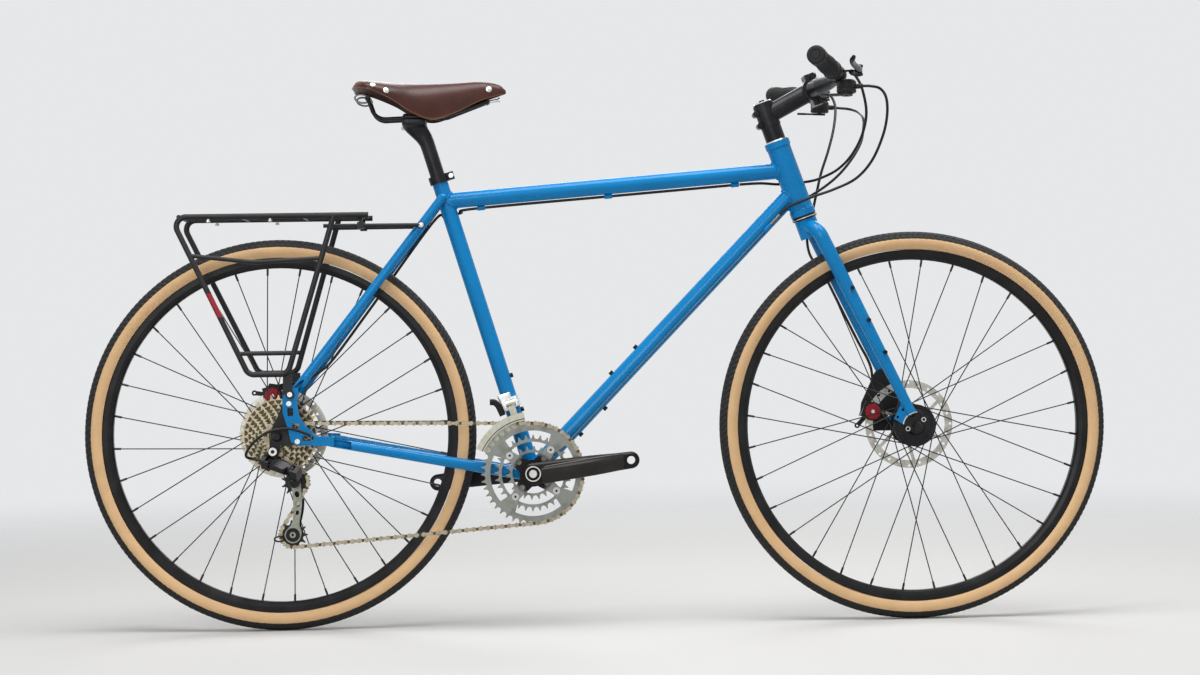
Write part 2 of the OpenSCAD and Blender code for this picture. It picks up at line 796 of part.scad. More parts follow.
// Lever that turns on the cross hole of the cam head
module qr_lever(at, face) {
  on_axle(at) up(-face - qr_head_l / 2 - 1) {
    rotate([90, 0, 0]) cylinder(r = qr_pin_r, h = qr_head_d + 8, center = true);
    for (side = [-1, 1]) translate([0, side * (qr_head_d / 2 + 2.3), 0]) rotate([90, 0, 0])
      cylinder(r = 6, h = 3.5, center = true);
    difference() {
      translate([-12, -qr_head_d / 2 - 4, -6]) cube([12, qr_head_d + 8, 6]);
      translate([-13, -qr_head_d / 2 - 0.5, -8]) cube([14, qr_head_d + 1, 12]);
    }
    difference() {
      translate([-62, -qr_head_d / 2 - 4, -6]) cube([52, qr_head_d + 8, 5]);
      translate([-10, 0, -8]) cylinder(d = qr_head_d + 1.4, h = 12);
      for (side = [-1, 1]) translate([-70, side * 22, -8]) rotate(side * 9) translate([0, -8, 0]) cube([62, 16, 12]);
    }
  }
}

rear_face = plate_in + axle_plate_t + 0.1;
module rear_axle() { color(black) axle_set(rear_at, plate_in + axle_plate_t, rear_face); }
module rear_qr_lever() { color(black) qr_lever(rear_at, rear_face); }

// Wheels

rim_flange_r = tyre_d / 2 - 33;
rim_seat_r = rim_flange_r - 6;
rim_in_r = rim_flange_r - 18;
rim_half_w = 12;
bead_half_w = 9.3;
tyre_mid_r = (tyre_d - tyre_w) / 2;
flange_t = 3;
hole_in = 1.5;
valve_r = 3;
nipple_l = 12;
front_valve_a = 69;
rear_valve_a = 212;

function turned(list) = [for (p = list) [p[0], -p[1]]];

module rim(at, valve_angle) {
  wall = 1.9;
  color(black) difference() {
    on_axle(at) rotate_extrude($fn = 128) polygon([
      [rim_in_r, -5], [rim_in_r + 3, -9], [rim_in_r + 9, -rim_half_w], [rim_flange_r, -rim_half_w],
      [rim_flange_r, wall - rim_half_w], [rim_seat_r - 3, wall - rim_half_w],
      [rim_seat_r - 5, 0], [rim_seat_r - 3, rim_half_w - wall], [rim_flange_r, rim_half_w - wall],
      [rim_flange_r, rim_half_w], [rim_in_r + 9, rim_half_w], [rim_in_r + 3, 9], [rim_in_r, 5]]);
    translate(at) rotate([0, 90 - valve_angle, 0]) cylinder(r = valve_r + 0.3, h = rim_flange_r);
  }
}

// Section of the space in the casing, or of the inner tube set in from it
module tube_section(inset, lip) {
  intersection() {
    translate([tyre_mid_r, 0]) circle(r = tyre_w / 2 - tyre_wall - inset);
    translate([lip + inset, -tyre_w]) square([tyre_d, 2 * tyre_w]);
  }
}

module tyre(at, valve_angle) {
  lip = rim_flange_r + 1;
  cavity_lip = lip + tyre_wall;
  color(rubber) {
    on_axle(at) rotate_extrude($fn = 128) difference() {
      union() {
        intersection() {
          translate([tyre_mid_r, 0]) circle(d = tyre_w);
          translate([lip, -tyre_w]) square([tyre_d, 2 * tyre_w]);
        }
        translate([rim_seat_r + 0.3, -bead_half_w]) square([lip - rim_seat_r + over, 2 * bead_half_w]);
      }
      tube_section(0, cavity_lip);
      translate([rim_seat_r - over, tyre_wall - bead_half_w])
        square([cavity_lip - rim_seat_r + 2 * over, 2 * (bead_half_w - tyre_wall)]);
    }
    // Inner tube and its valve
    on_axle(at) rotate_extrude($fn = 128) difference() {
      tube_section(0.6, cavity_lip);
      tube_section(1.8, cavity_lip);
    }
    translate(at) rotate([0, 90 - valve_angle, 0]) {
      up(rim_in_r - 28) cylinder(r = valve_r - 0.6, h = 40);
      up(rim_in_r + 4) cylinder(r = valve_r, h = tyre_mid_r - rim_in_r - 4);
      up(rim_in_r - 36) cylinder(r1 = valve_r - 1.4, r2 = valve_r - 0.2, h = 22);
    }
  }
}

// Spoke between a hub flange and the rim, with its nipple
module spoke(hub_angle, hub_r, hub_y, rim_angle, rim_y) {
  a = [hub_r * cos(hub_angle), hub_y, hub_r * sin(hub_angle)];
  b = [(rim_in_r - 0.3) * cos(rim_angle), rim_y, (rim_in_r - 0.3) * sin(rim_angle)];
  bar(a, b, spoke_d / 2);
  bar(b - nipple_l * unit(b - a), b, spoke_d);
}

// Spokes crossed three times; every other one lies on the outer face of its flange
module spokes(at, flange_r, left_y, right_y, valve_angle) {
  step = 360 / spoke_count;
  cross_angle = 3 * 2 * step;
  inner = flange_t / 2 + spoke_d / 2 + 0.1;
  outer = inner + 1.5;
  color(steel) translate(at) for (i = [0 : spoke_count - 1]) {
    right = i % 2;
    trailing = floor(i / 2) % 2;
    theta = valve_angle + step * (i + 0.5);
    y = right == 1 ? right_y : left_y;
    out = right == 1 ? -1 : 1;
    spoke(theta + (trailing == 1 ? -cross_angle : cross_angle), flange_r - hole_in,
      y + out * (trailing == 1 ? outer : -inner), theta, out * 1.5);
  }
}

module rotor(at, y, boss_r, pcd_r) {
  color(steel) side_plate(at + [0, y - rotor_t / 2, 0], rotor_t) {
    difference() {
      circle(r = rotor_d / 2, $fn = 128);
      circle(r = rotor_d / 2 - 14, $fn = 128);
      for (i = [0 : 23]) rotate(15 * i) translate([rotor_d / 2 - 4 - 3 * (i % 3), 0]) circle(r = 2.4, $fn = 24);
    }
    difference() {
      circle(r = pcd_r + 7);
      circle(r = boss_r + 0.3);
      for (i = [0 : 5]) rotate(60 * i) translate([pcd_r, 0]) circle(r = 2.7, $fn = 24);
    }
    for (i = [0 : 5]) rotate(60 * i + 22) translate([pcd_r + 4, -3]) rotate(24) square([rotor_d / 2 - pcd_r - 8, 6]);
  }
  color(steel) for (i = [0 : 5]) translate(at + [pcd_r * cos(60 * i), y + rotor_t / 2, pcd_r * sin(60 * i)])
    rotate([-90, 0, 0]) screw(5, rotor_t, 7, 2);
}

axle_bore = axle_d / 2 + run_gap;
rotor_pcd_r = 22;
rotor_boss_r = 17;

rear_flange_r = 27;
rear_left_y = 30;
rear_right_y = -14;

module rear_hub() {
  seat = rear_rotor_y - rotor_t / 2;
  color(black) on_axle(rear_at) rotate_extrude() polygon(turned([
    [axle_bore, plate_in - 0.3], [9, plate_in - 0.3], [9, plate_in - 8], [rotor_boss_r, seat + 4],
    [rotor_boss_r, seat], [rotor_pcd_r + 5, seat], [rotor_pcd_r + 5, seat - 7],
    [14, rear_left_y + flange_t / 2 + 3], [14, rear_left_y + flange_t / 2],
    [rear_flange_r, rear_left_y + flange_t / 2], [rear_flange_r, rear_left_y - flange_t / 2],
    [16, rear_left_y - flange_t / 2], [13.5, rear_left_y - 14], [13.5, rear_right_y + 12],
    [16, rear_right_y + flange_t / 2],
    [rear_flange_r, rear_right_y + flange_t / 2], [rear_flange_r, rear_right_y - flange_t / 2],
    [15, rear_right_y - flange_t / 2], [15, rear_right_y - 5.5], [axle_bore, rear_right_y - 5.5]]));
}

front_flange_r = front_hub_d / 2 + 4;
front_left_y = 15;
front_right_y = -31;

module front_hub() {
  half = front_hub_w / 2;
  seat = front_rotor_y - rotor_t / 2;
  r = front_hub_d / 2;
  color(black) on_axle(front_at) rotate_extrude() polygon(turned([
    [axle_bore, half - 0.3], [9, half - 0.3], [9, half - 6], [rotor_boss_r, seat + 3],
    [rotor_boss_r, seat], [rotor_pcd_r + 5, seat], [rotor_pcd_r + 5, seat - 6],
    [24, front_left_y + 8], [24, front_left_y + flange_t / 2],
    [front_flange_r, front_left_y + flange_t / 2], [front_flange_r, front_left_y - flange_t / 2],
    [r, front_left_y - flange_t / 2], [r, front_right_y + flange_t / 2],
    [front_flange_r, front_right_y + flange_t / 2], [front_flange_r, front_right_y - flange_t / 2],
    [r - 4, front_right_y - flange_t / 2], [r - 10, front_right_y - 5], [18, front_right_y - 6],
    [14, 0.3 - half], [axle_bore, 0.3 - half]]));
}

module rear_rim() { rim(rear_at, rear_valve_a); }
module front_rim() { rim(front_at, front_valve_a); }
module rear_tyre() { tyre(rear_at, rear_valve_a); }
module front_tyre() { tyre(front_at, front_valve_a); }
module rear_spokes() { spokes(rear_at, rear_flange_r, rear_left_y, rear_right_y, rear_valve_a); }
module front_spokes() { spokes(front_at, front_flange_r, front_left_y, front_right_y, front_valve_a); }
module rear_rotor() { rotor(rear_at, rear_rotor_y, rotor_boss_r, rotor_pcd_r); }
module front_rotor() { rotor(front_at, front_rotor_y, rotor_boss_r, rotor_pcd_r); }

// Chain path, drawn in the side view as [x, z] points, all in the plane y = chain_y

roller_r = 3.9;
seat_r = 4.35;
tooth_h = 3.4;
tooth_t = 1.8;
cog_teeth = [11, 13, 15, 17, 20, 23, 26, 30, 34];
cog_step = 4.34;
pulley_teeth = 11;

function pitch_r(n) = pitch / 2 / sin(180 / n);
guide_at = [rear_at.x + 30, axle_h - 81];

// Heading of the straight run that leaves wheel a and meets wheel b; s is +1 where the chain turns
// anticlockwise on a wheel and -1 where it turns clockwise
function heading(a, b) = let (d = b[0] - a[0])
  atan2(d.y, d.x) + asin((a[2] * a[1] - b[2] * b[1]) / norm(d));
function touch(w, h) = w[0] + w[1] * [cos(h - w[2] * 90), sin(h - w[2] * 90)];
function wrap(a) = a - 360 * floor(a / 360);

// The four wheels as [centre, pitch radius, turn, teeth] for a cage angle
function chain_wheels(angle) = [
  [[bb_at.x, bb_at.z], pitch_r(ring_teeth), 1, ring_teeth],
  [[rear_at.x, axle_h], pitch_r(cog_teeth[0]), 1, cog_teeth[0]],
  [guide_at, pitch_r(pulley_teeth), -1, pulley_teeth],
  [guide_at + cage_l * [cos(angle), sin(angle)], pitch_r(pulley_teeth), 1, pulley_teeth]];
function headings(w) = [for (i = [0 : 3]) heading(w[i], w[(i + 1) % 4])];

// Angle swept on wheel i, and the length of chain on it, counted in whole pitches per tooth
function sweep(w, h, i) = wrap(w[i][2] * (h[i] - h[(i + 3) % 4]));
function on_wheel(w, h, i) = w[i][3] * pitch * sweep(w, h, i) / 360;
function on_run(w, h, i) = norm(touch(w[(i + 1) % 4], h[i]) - touch(w[i], h[i]));
function lengths(w, h) = [for (i = [0 : 3]) each [on_wheel(w, h, i), on_run(w, h, i)]];
function sum(list, i = 0) = i == len(list) ? 0 : list[i] + sum(list, i + 1);
function chain_length(angle) = let (w = chain_wheels(angle)) sum(lengths(w, headings(w)));

// Cage angle at which the chain closes on a whole number of link pairs
loose_angle = -94;
link_count = 2 * round(chain_length(loose_angle) / pitch / 2);
function solve_cage(low, high, n) = let (m = (low + high) / 2)
  n == 0 ? m : chain_length(m) > link_count * pitch ? solve_cage(m, high, n - 1) : solve_cage(low, m, n - 1);
cage_angle = solve_cage(loose_angle - 16, loose_angle + 16, 40);
wheels = chain_wheels(cage_angle);
runs = headings(wheels);
spans = lengths(wheels, runs);
starts = [for (k = [0 : 7]) sum([for (j = [0 : k]) j == 0 ? 0 : spans[j - 1]])];

// Point on the chain at the distance s from the start
function span_of(s, k = 7) = k == 0 || s >= starts[k] ? k : span_of(s, k - 1);
function chain_point(s) = let (k = span_of(s), i = floor(k / 2), t = (s - starts[k]) / spans[k], w = wheels[i])
  k % 2 == 0
    ? let (a = runs[(i + 3) % 4] - w[2] * 90 + w[2] * t * sweep(wheels, runs, i)) w[0] + w[1] * [cos(a), sin(a)]
    : mix(touch(w, runs[i]), touch(wheels[(i + 1) % 4], runs[i]), t);
// Angle of the first roller on wheel i, so that its teeth stand between the rollers
function tooth_phase(i) = let (s = pitch * ceil(starts[2 * i] / pitch - 0.000001))
  runs[(i + 3) % 4] - wheels[i][2] * 90 + wheels[i][2] * (s - starts[2 * i]) * 360 / (wheels[i][3] * pitch);

// Toothed outline with a round seat for each roller
module sprocket(n, phase) {
  r = pitch_r(n);
  tip_half = 0.9;
  tip_r = r + tooth_h;
  seat = [for (psi = [70, 24, -24, -70]) [r - seat_r * cos(psi), -seat_r * sin(psi)]];
  tip_a = 180 / n - asin(tip_half / tip_r);
  tooth = concat(seat, [[tip_r * cos(tip_a), tip_r * sin(tip_a)],
    [tip_r * cos(360 / n - tip_a), tip_r * sin(360 / n - tip_a)]]);
  polygon([for (i = [0 : n - 1]) for (p = tooth) let (a = phase + 360 * i / n)
    [p.x * cos(a) - p.y * sin(a), p.x * sin(a) + p.y * cos(a)]]);
}

link_r = 4.1;
link_t = 0.8;
inner_half = 1.3;
pin_r = 1.8;

module link_outline(bore) {
  difference() {
    union() {
      circle(r = link_r, $fn = 24);
      translate([pitch, 0]) circle(r = link_r, $fn = 24);
      translate([0, -link_r * 0.62]) square([pitch, link_r * 1.24]);
    }
    if (bore > 0) for (x = [0, pitch]) translate([x, 0]) circle(r = bore, $fn = 24);
  }
}

module inner_link() {
  for (y = [inner_half, -inner_half - link_t]) up(y) linear_extrude(link_t) link_outline(pin_r + 0.2);
  for (x = [0, pitch]) translate([x, 0, 0]) difference() {
    cylinder(r = roller_r, h = 2 * inner_half + 0.2, center = true, $fn = 24);
    cylinder(r = pin_r + 0.2, h = 8, center = true, $fn = 24);
  }
}

module outer_link() {
  gap = inner_half + link_t + 0.1;
  for (y = [gap, -gap - link_t]) up(y) linear_extrude(link_t) link_outline(0);
  for (x = [0, pitch]) translate([x, 0, 0]) cylinder(r = pin_r, h = 2 * (gap + link_t + 0.2), center = true, $fn = 24);
}

module chain() {
  color(silver) for (i = [0 : link_count - 1]) {
    p = chain_point(i * pitch);
    q = chain_point(((i + 1) % link_count) * pitch);
    translate([p.x, chain_y, p.y]) rotate([90, 0, 0]) rotate(atan2(q.y - p.y, q.x - p.x))
      if (i % 2 == 0) outer_link(); else inner_link();
  }
}

freehub_r = 17;

module cassette() {
  color(silver) {
    on_axle(rear_at) difference() {
      up(20) cylinder(r = freehub_r - 0.1, h = -chain_y - 20 + 3.5);
      cylinder(r = axle_bore, h = 100);
    }
    for (i = [0 : len(cog_teeth) - 1]) {
      n = cog_teeth[i];
      y = chain_y + cog_step * i;
      r = pitch_r(n);
      side_plate(rear_at + [0, y - tooth_t / 2, 0], tooth_t) difference() {
        sprocket(n, i == 0 ? tooth_phase(1) : tooth_phase(1) + 3 * i);
        circle(r = freehub_r);
        if (r > 36) for (k = [0 : 7]) rotate(45 * k + 9 * i) translate([(r + 20) / 2 - 1, 0])
          circle(r = (r - 28) / 3.4, $fn = 24);
      }
      if (i > 0) on_axle(rear_at) up(-y) difference() {
        cylinder(r = freehub_r + 1, h = cog_step);
        up(-over) cylinder(r = freehub_r, h = cog_step + 2 * over);
      }
    }
    // Lock ring
    on_axle(rear_at) up(-chain_y + tooth_t / 2) difference() {
      cylinder(r = freehub_r + 1, h = 2.4);
      up(-over) cylinder(r = freehub_r - 4, h = 6);
    }
  }
}

// Cranks and chainrings

ring_step = 7.5;
ring_pcr = 52;
small_pcr = 32;
middle_teeth = 32;
small_teeth = 22;
arm_end_y = 80;
right_root_y = 71;
left_root_y = 57;
spider_a = 45;

module ring_tabs(r_in, r_out, w_in, w_out) {
  for (k = [0 : 3]) rotate(crank_angle + spider_a + 90 * k) {
    translate([r_in, 0]) circle(d = w_in);
    polygon([[r_in, -w_in / 2], [r_out, -w_out / 2], [r_out, w_out / 2], [r_in, w_in / 2]]);
  }
}

module ring_holes(r, d) {
  for (k = [0 : 3]) rotate(crank_angle + spider_a + 90 * k) translate([r, 0]) circle(d = d);
}

module chainring(y, n, band, tab_r, tab_w, phase) {
  r = pitch_r(n) - 4;
  side_plate([bb_at.x, y - tooth_t / 2, bb_at.z], tooth_t) difference() {
    union() {
      difference() {
        sprocket(n, phase);
        circle(r = r - band);
      }
      ring_tabs(tab_r, r - band + 3, 17, tab_w);
    }
    ring_holes(tab_r, 10);
  }
}

module chainrings() {
  phase = tooth_phase(0);
  color(steel) {
    chainring(chain_y, ring_teeth, 9, ring_pcr, 36, phase);
    chainring(chain_y + ring_step, middle_teeth, 5, ring_pcr, 17, phase);
    chainring(chain_y + 2 * ring_step, small_teeth, 4, small_pcr, 17, phase);
    // Bolts of the two larger rings, and of the small ring
    for (k = [0 : 3]) {
      a = crank_angle + spider_a + 90 * k;
      translate([bb_at.x + ring_pcr * cos(a), 0, bb_at.z + ring_pcr * sin(a)]) rotate([90, 0, 0]) {
        up(-chain_y - ring_step - 3) cylinder(d = 9.8, h = ring_step + 5);
        up(-chain_y + tooth_t / 2 + 0.1) difference() {
          cylinder(d = 13, h = 1.6);
          cylinder(d = 6, h = 4, $fn = 6);
        }
        up(-chain_y - ring_step - tooth_t / 2 - 1.7) cylinder(d = 13, h = 1.6);
      }
      translate([bb_at.x + small_pcr * cos(a), 0, bb_at.z + small_pcr * sin(a)]) rotate([90, 0, 0])
        up(-chain_y - 2 * ring_step - tooth_t / 2 - 1.8) cylinder(d = 9.8, h = tooth_t + 4);
    }
  }
}

// Round-edged disc about Y that the crank arms are drawn between
module arm_disc(r, t) {
  e = 3.5;
  rotate([90, 0, 0]) rotate_extrude($fn = 32) polygon([[0, -t / 2], [r - e, -t / 2], [r - 1, e / 2 - t / 2],
    [r, e - t / 2], [r, t / 2 - e], [r - 1, t / 2 - e / 2], [r - e, t / 2], [0, t / 2]]);
}

module crank_arm(root_y, angle, side) {
  end = bb_at + [crank_l * cos(angle), 0, crank_l * sin(angle)];
  difference() {
    hull() {
      translate(bb_at + [0, side * root_y, 0]) arm_disc(19.5, 17);
      translate(end + [0, side * arm_end_y, 0]) arm_disc(15, 13);
    }
    // Pedal thread
    translate(end + [0, side * arm_end_y, 0]) rotate([90, 0, 0]) cylinder(d = pedal_thread_d, h = 40, center = true);
    children();
  }
}

// Web of the spider that the chainrings bolt to
module spider() {
  spider_out = -chain_y - tooth_t / 2 - 0.1;
  spider_in = -chain_y - ring_step + tooth_t / 2 + 0.1;
  on_axle(bb_at) {
    up(spider_in) linear_extrude(spider_out - spider_in) difference() {
      union() {
        circle(r = 24);
        for (k = [0 : 3]) rotate(crank_angle + spider_a + 90 * k) {
          polygon([[10, -15], [ring_pcr, -8], [ring_pcr, 8], [10, 15]]);
          translate([ring_pcr, 0]) circle(r = 8);
        }
      }
      circle(d = spindle_d - 4);
      ring_holes(ring_pcr, 10);
      ring_holes(small_pcr, 10);
    }
    up(spider_in + 3) difference() {
      cylinder(r = 19, h = right_root_y - spider_in - 6);
      up(-over) cylinder(d = spindle_d - 4, h = 40);
    }
    // Posts of the small ring
    for (k = [0 : 3]) rotate(crank_angle + spider_a + 90 * k) translate([small_pcr, 0, 0]) difference() {
      up(-chain_y - 2 * ring_step + tooth_t / 2 + 0.1)
        cylinder(r = 6.5, h = spider_in - (-chain_y - 2 * ring_step + tooth_t / 2) + 1);
      up(30) cylinder(r = 5, h = 40);
    }
  }
}

spindle_end = left_root_y + 8;

module right_crank() {
  color(black) {
    crank_arm(right_root_y, crank_angle, -1)
      on_axle(bb_at) up(right_root_y + 4) cylinder(d = spindle_d - 4, h = 10);
    spider();
    on_axle(bb_at) difference() {
      up(-spindle_end) cylinder(d = spindle_d, h = spindle_end + right_root_y);
      up(-spindle_end - over) cylinder(d = spindle_d - 5, h = spindle_end + right_root_y - 4);
    }
  }
}

module left_crank() {
  color(black) {
    crank_arm(left_root_y, crank_angle + 180, 1) {
      on_axle(bb_at) cylinder(d = spindle_d + 0.02, h = 200, center = true);
      // Slit of the clamp on the spindle
      translate(bb_at) rotate([0, -crank_angle - 180, 0]) translate([0, left_root_y - 20, -0.9]) cube([30, 40, 1.8]);
    }
    // End cap that sets the bearing play
    on_axle(bb_at) up(-spindle_end - 2.1) cylinder(d = spindle_d - 5.2, h = 14);
  }
}

// Rear derailleur: two links swing about tilted pins between the knuckle and the body

link_at = rear_at + [-14, -81, -42];
link_axis = [0.48, 0.6, 0.64];
link_way = [41.2, -17.4, -14.6];
link_dir = unit(link_way - (link_way * link_axis) * link_axis);
link_side = cross(link_axis, link_dir);
link_l = 47;
link_gap = 14;
link_half = 5.5;
lpin_r = 1.5;
cheek_t = 2.6;
cage_pin_r = 4;
cage_half = 6.2;
cage_t = 1.8;
body_out = -86;

// Local X runs along the links, Y from the outer link to the inner one, Z along the pins
module on_link() {
  multmatrix([for (i = [0 : 2]) [link_dir[i], link_side[i], link_axis[i], link_at[i]]]) children();
}

module link(y) {
  color(black) on_link() translate([0, y, 0]) difference() {
    union() {
      for (x = [0, link_l]) translate([x, 0, 0]) cylinder(r = 4, h = 2 * link_half, center = true);
      translate([0, -2, -link_half]) cube([link_l, 4, 2 * link_half]);
    }
    for (x = [0, link_l]) translate([x, 0, 0]) cylinder(r = lpin_r + run_gap, h = 40, center = true);
  }
}

// Two cheeks, their pins and the web behind them; out is the side of the web
module link_cheeks(x, out) {
  z = link_half + pass_gap;
  for (s = [z, -z - cheek_t]) translate([x, 0, s]) linear_extrude(cheek_t) {
    for (y = [0, link_gap]) translate([0, y]) circle(r = 4.5);
    translate([out < 0 ? -14 : 0, -4.5]) square([14, link_gap + 9]);
  }
  translate([x + (out < 0 ? -14 : 6), -4.5, -z - cheek_t]) cube([8, link_gap + 9, 2 * (z + cheek_t)]);
  for (y = [0, link_gap]) translate([x, y, 0]) cylinder(r = lpin_r, h = 2 * z + 1, center = true);
}

module derailleur_knuckle() {
  color(black) {
    on_link() {
      link_cheeks(0, -1);
      bar([0, -11, 13.6], [-12, 0, 3], 4);
    }
    on_axle(rear_at + [hanger_at.x, 0, hanger_at.y]) {
      up(drop_in + 0.5) cylinder(r = 8, h = 15);
      up(plate_in - 1) cylinder(r = 4, h = 12);
    }
  }
}

module derailleur_outer_link() { link(0); }
module derailleur_inner_link() { link(link_gap); }

cage_at = [guide_at.x, 0, guide_at.y];
cage_dir = [cos(cage_angle), 0, sin(cage_angle)];

module derailleur_body() {
  color(black) difference() {
    union() {
      on_link() {
        link_cheeks(link_l, 1);
        bar([link_l + 10, 13, 0], [link_l + 4.5, 30, -3.5], 4.5);
      }
      on_axle(cage_at) up(-chain_y + cage_half + cage_t + pass_gap)
        cylinder(r = 9, h = -body_out + chain_y - cage_half - cage_t - pass_gap);
    }
    on_axle(cage_at) cylinder(r = cage_pin_r + run_gap, h = 100);
  }
}

module cage_outline() {
  for (x = [0, cage_l]) translate([x, 0]) circle(r = 9);
  difference() {
    translate([0, -7]) square([cage_l, 14]);
    translate([26, -3.5]) square([cage_l - 52, 7]);
  }
}

module derailleur_cage() {
  color(steel) {
    for (y = [chain_y - cage_half - cage_t, chain_y + cage_half]) side_plate(cage_at + [0, y, 0], cage_t)
      rotate(cage_angle) cage_outline();
    on_axle(cage_at) up(-chain_y - cage_half - 1) {
      cylinder(r = 3, h = 2 * cage_half + 2);
      up(2 * cage_half + 1.5) cylinder(r = cage_pin_r, h = -body_out + chain_y - cage_half - 1);
    }
    on_axle(cage_at + cage_l * cage_dir) up(-chain_y - cage_half - 1) cylinder(r = 3, h = 2 * cage_half + 4);
  }
}

module pulley(at, phase) {
  color(black) translate([0, chain_y, 0]) {
    side_plate(at - [0, tooth_t / 2, 0], tooth_t) difference() {
      sprocket(pulley_teeth, phase);
      circle(r = 3 + run_gap);
    }
    on_axle(at) difference() {
      cylinder(r = 7, h = 9, center = true);
      cylinder(r = 3 + run_gap, h = 20, center = true);
    }
  }
}

module guide_pulley() { pulley(cage_at, tooth_phase(2)); }
module tension_pulley() { pulley(cage_at + cage_l * cage_dir, tooth_phase(3)); }

// Fork, drawn about the steering axis: local Z runs up the axis from the level of the front axle

crown_h = 34;
crown_r = 20;
blade_r = 13;
blade_tip_r = 9;
fork_end_t = 6;
fork_half = front_hub_w / 2;
blade_low = [fork_rake - 2, fork_half + 4, 27];
blade_high = [12, 38, fork_l - 38];
cap_h = 2.5;
stem_low = head_high + 29;
stem_h = 42;
stem_high = stem_low + stem_h;

function on_blade(z) = mix(blade_low, blade_high, (z - blade_low.z) / (blade_high.z - blade_low.z));
// Bosses on the outside of the blades
fork_boss_spots = [for (z = [144, 208, 272]) on_blade(z) + [6, 10, 0]];

module crown_body() {
  up(fork_l - crown_h) cylinder(r = crown_r, h = crown_h);
}

module fork_steerer() {
  color(paint) on_steer(0) difference() {
    union() {
      crown_body();
      up(fork_l - over) cylinder(d = steerer_d, h = stem_high - 3 - fork_l + over);
    }
    up(fork_l) cylinder(d = steerer_d - 4.6, h = stem_high);
  }
}

module blade_taper() {
  bar(on_blade(340.5), blade_low, blade_r, blade_tip_r);
}

module both_sides() {
  children();
  mirror([0, 1, 0]) children();
}

module fork_blades() {
  knee = on_blade(fork_l - 17);
  color(paint) on_steer(0) both_sides() difference() {
    union() {
      pipe([[0, 8, knee.z], knee, on_blade(340)], blade_r, 26);
      blade_taper();
      translate(blade_low) sphere(r = blade_tip_r + 0.1);
      side_plate([0, fork_half, 0], fork_end_t) {
        translate([fork_rake, 0]) circle(r = 13);
        polygon([[fork_rake - 13, 0], [fork_rake - 34, 26], [fork_rake - 16, 44], [fork_rake + 5, 40], [fork_rake + 13, 0]]);
      }
    }
    crown_body();
    for (p = [[0, 0, axle_d], [-27, 27, bolt_d], [-14, 36, bolt_d]])
      translate([fork_rake + p[0], fork_half + 3, p[1]]) rotate([90, 0, 0]) cylinder(d = p[2] + 0.1, h = 20, center = true);
    for (p = fork_boss_spots) translate(p - [0, 8, 0]) rotate([-90, 0, 0]) cylinder(d = bolt_d + 0.1, h = 20);
  }
}

front_face = fork_half + fork_end_t + 0.1;
module front_axle() { color(black) axle_set(front_at, fork_half + fork_end_t, front_face); }
module front_qr_lever() { color(black) qr_lever(front_at, front_face); }

module front_caliper() {
  color(black) {
    at_pad(front_at, front_rotor_y, front_pad_a) caliper_body();
    // Bracket on the left blade
    difference() {
      side_plate(front_at + [0, front_rotor_y + 2.4, 0], 4.6) difference() {
        polygon([[-14, 40], [-44, 104], [-60, 96], [-86, 40], [-88, 22], [-50, 8], [-30, 20]]);
        translate(rotor_pad_r * [cos(front_pad_a), sin(front_pad_a)]) circle(r = caliper_r - 1);
      }
      on_steer(0) blade_taper();
    }
  }
  color(red) at_pad(front_at, front_rotor_y, front_pad_a) pad_knob();
}

module front_caliper_arm() {
  color(black) at_pad(front_at, front_rotor_y, front_pad_a) caliper_arm();
}

// Stem

clamp_rise = 14.6;
clamp_z = stem_low + stem_h / 2 + clamp_rise;
clamp_w = 46;
clamp_r = 21;
clamp_split = 0.8;
ear_bolt = [14, 23.5];

// Clamp around the handlebar, about its own middle
module bar_clamp() {
  difference() {
    union() {
      rotate([90, 0, 0]) cylinder(r = clamp_r, h = clamp_w, center = true);
      translate([-9, -clamp_w / 2, -29]) cube([18, clamp_w, 58]);
    }
    rotate([90, 0, 0]) cylinder(d = bar_clamp_d + 0.02, h = clamp_w + 2, center = true);
    for (y = [-1, 1]) for (z = [-1, 1]) translate([-20, y * ear_bolt.x, z * ear_bolt.y]) rotate([0, 90, 0])
      cylinder(d = bolt_d + 0.1, h = 40);
  }
}

module stem() {
  mid = stem_low + stem_h / 2;
  color(black) on_steer(0) {
    difference() {
      union() {
        up(stem_low) cylinder(r = 19, h = stem_h);
        bar([0, 0, mid], [stem_l - 6, 0, mid + clamp_rise * 0.94], 17);
      }
      up(stem_low - over) cylinder(d = steerer_d + 0.02, h = stem_h + 2 * over);
      translate([stem_l, 0, clamp_z]) rotate([90, 0, 0]) cylinder(r = clamp_r - 2, h = 80, center = true);
    }
    translate([stem_l, 0, clamp_z]) difference() {
      bar_clamp();
      translate([-clamp_split, -clamp_w, -clamp_w]) cube(2 * clamp_w);
    }
    // Spacers under the stem, and the top cap
    for (i = [0 : 2]) up(head_high + cap_h + 0.1 + i * 8.8) difference() {
      cylinder(r = 18, h = 8.7);
      up(-over) cylinder(d = steerer_d + 0.02, h = 12);
    }
    up(stem_high + 0.1) difference() {
      rotate_extrude() polygon([[0, 0], [17.5, 0], [17.5, 3], [15, 5], [0, 5]]);
      up(-over) cylinder(d = bolt_d + 0.4, h = 10);
    }
  }
}

module stem_faceplate() {
  color(black) on_steer(0) translate([stem_l, 0, clamp_z]) difference() {
    bar_clamp();
    translate([clamp_split - 2 * clamp_w, -clamp_w, -clamp_w]) cube(2 * clamp_w);
  }
}

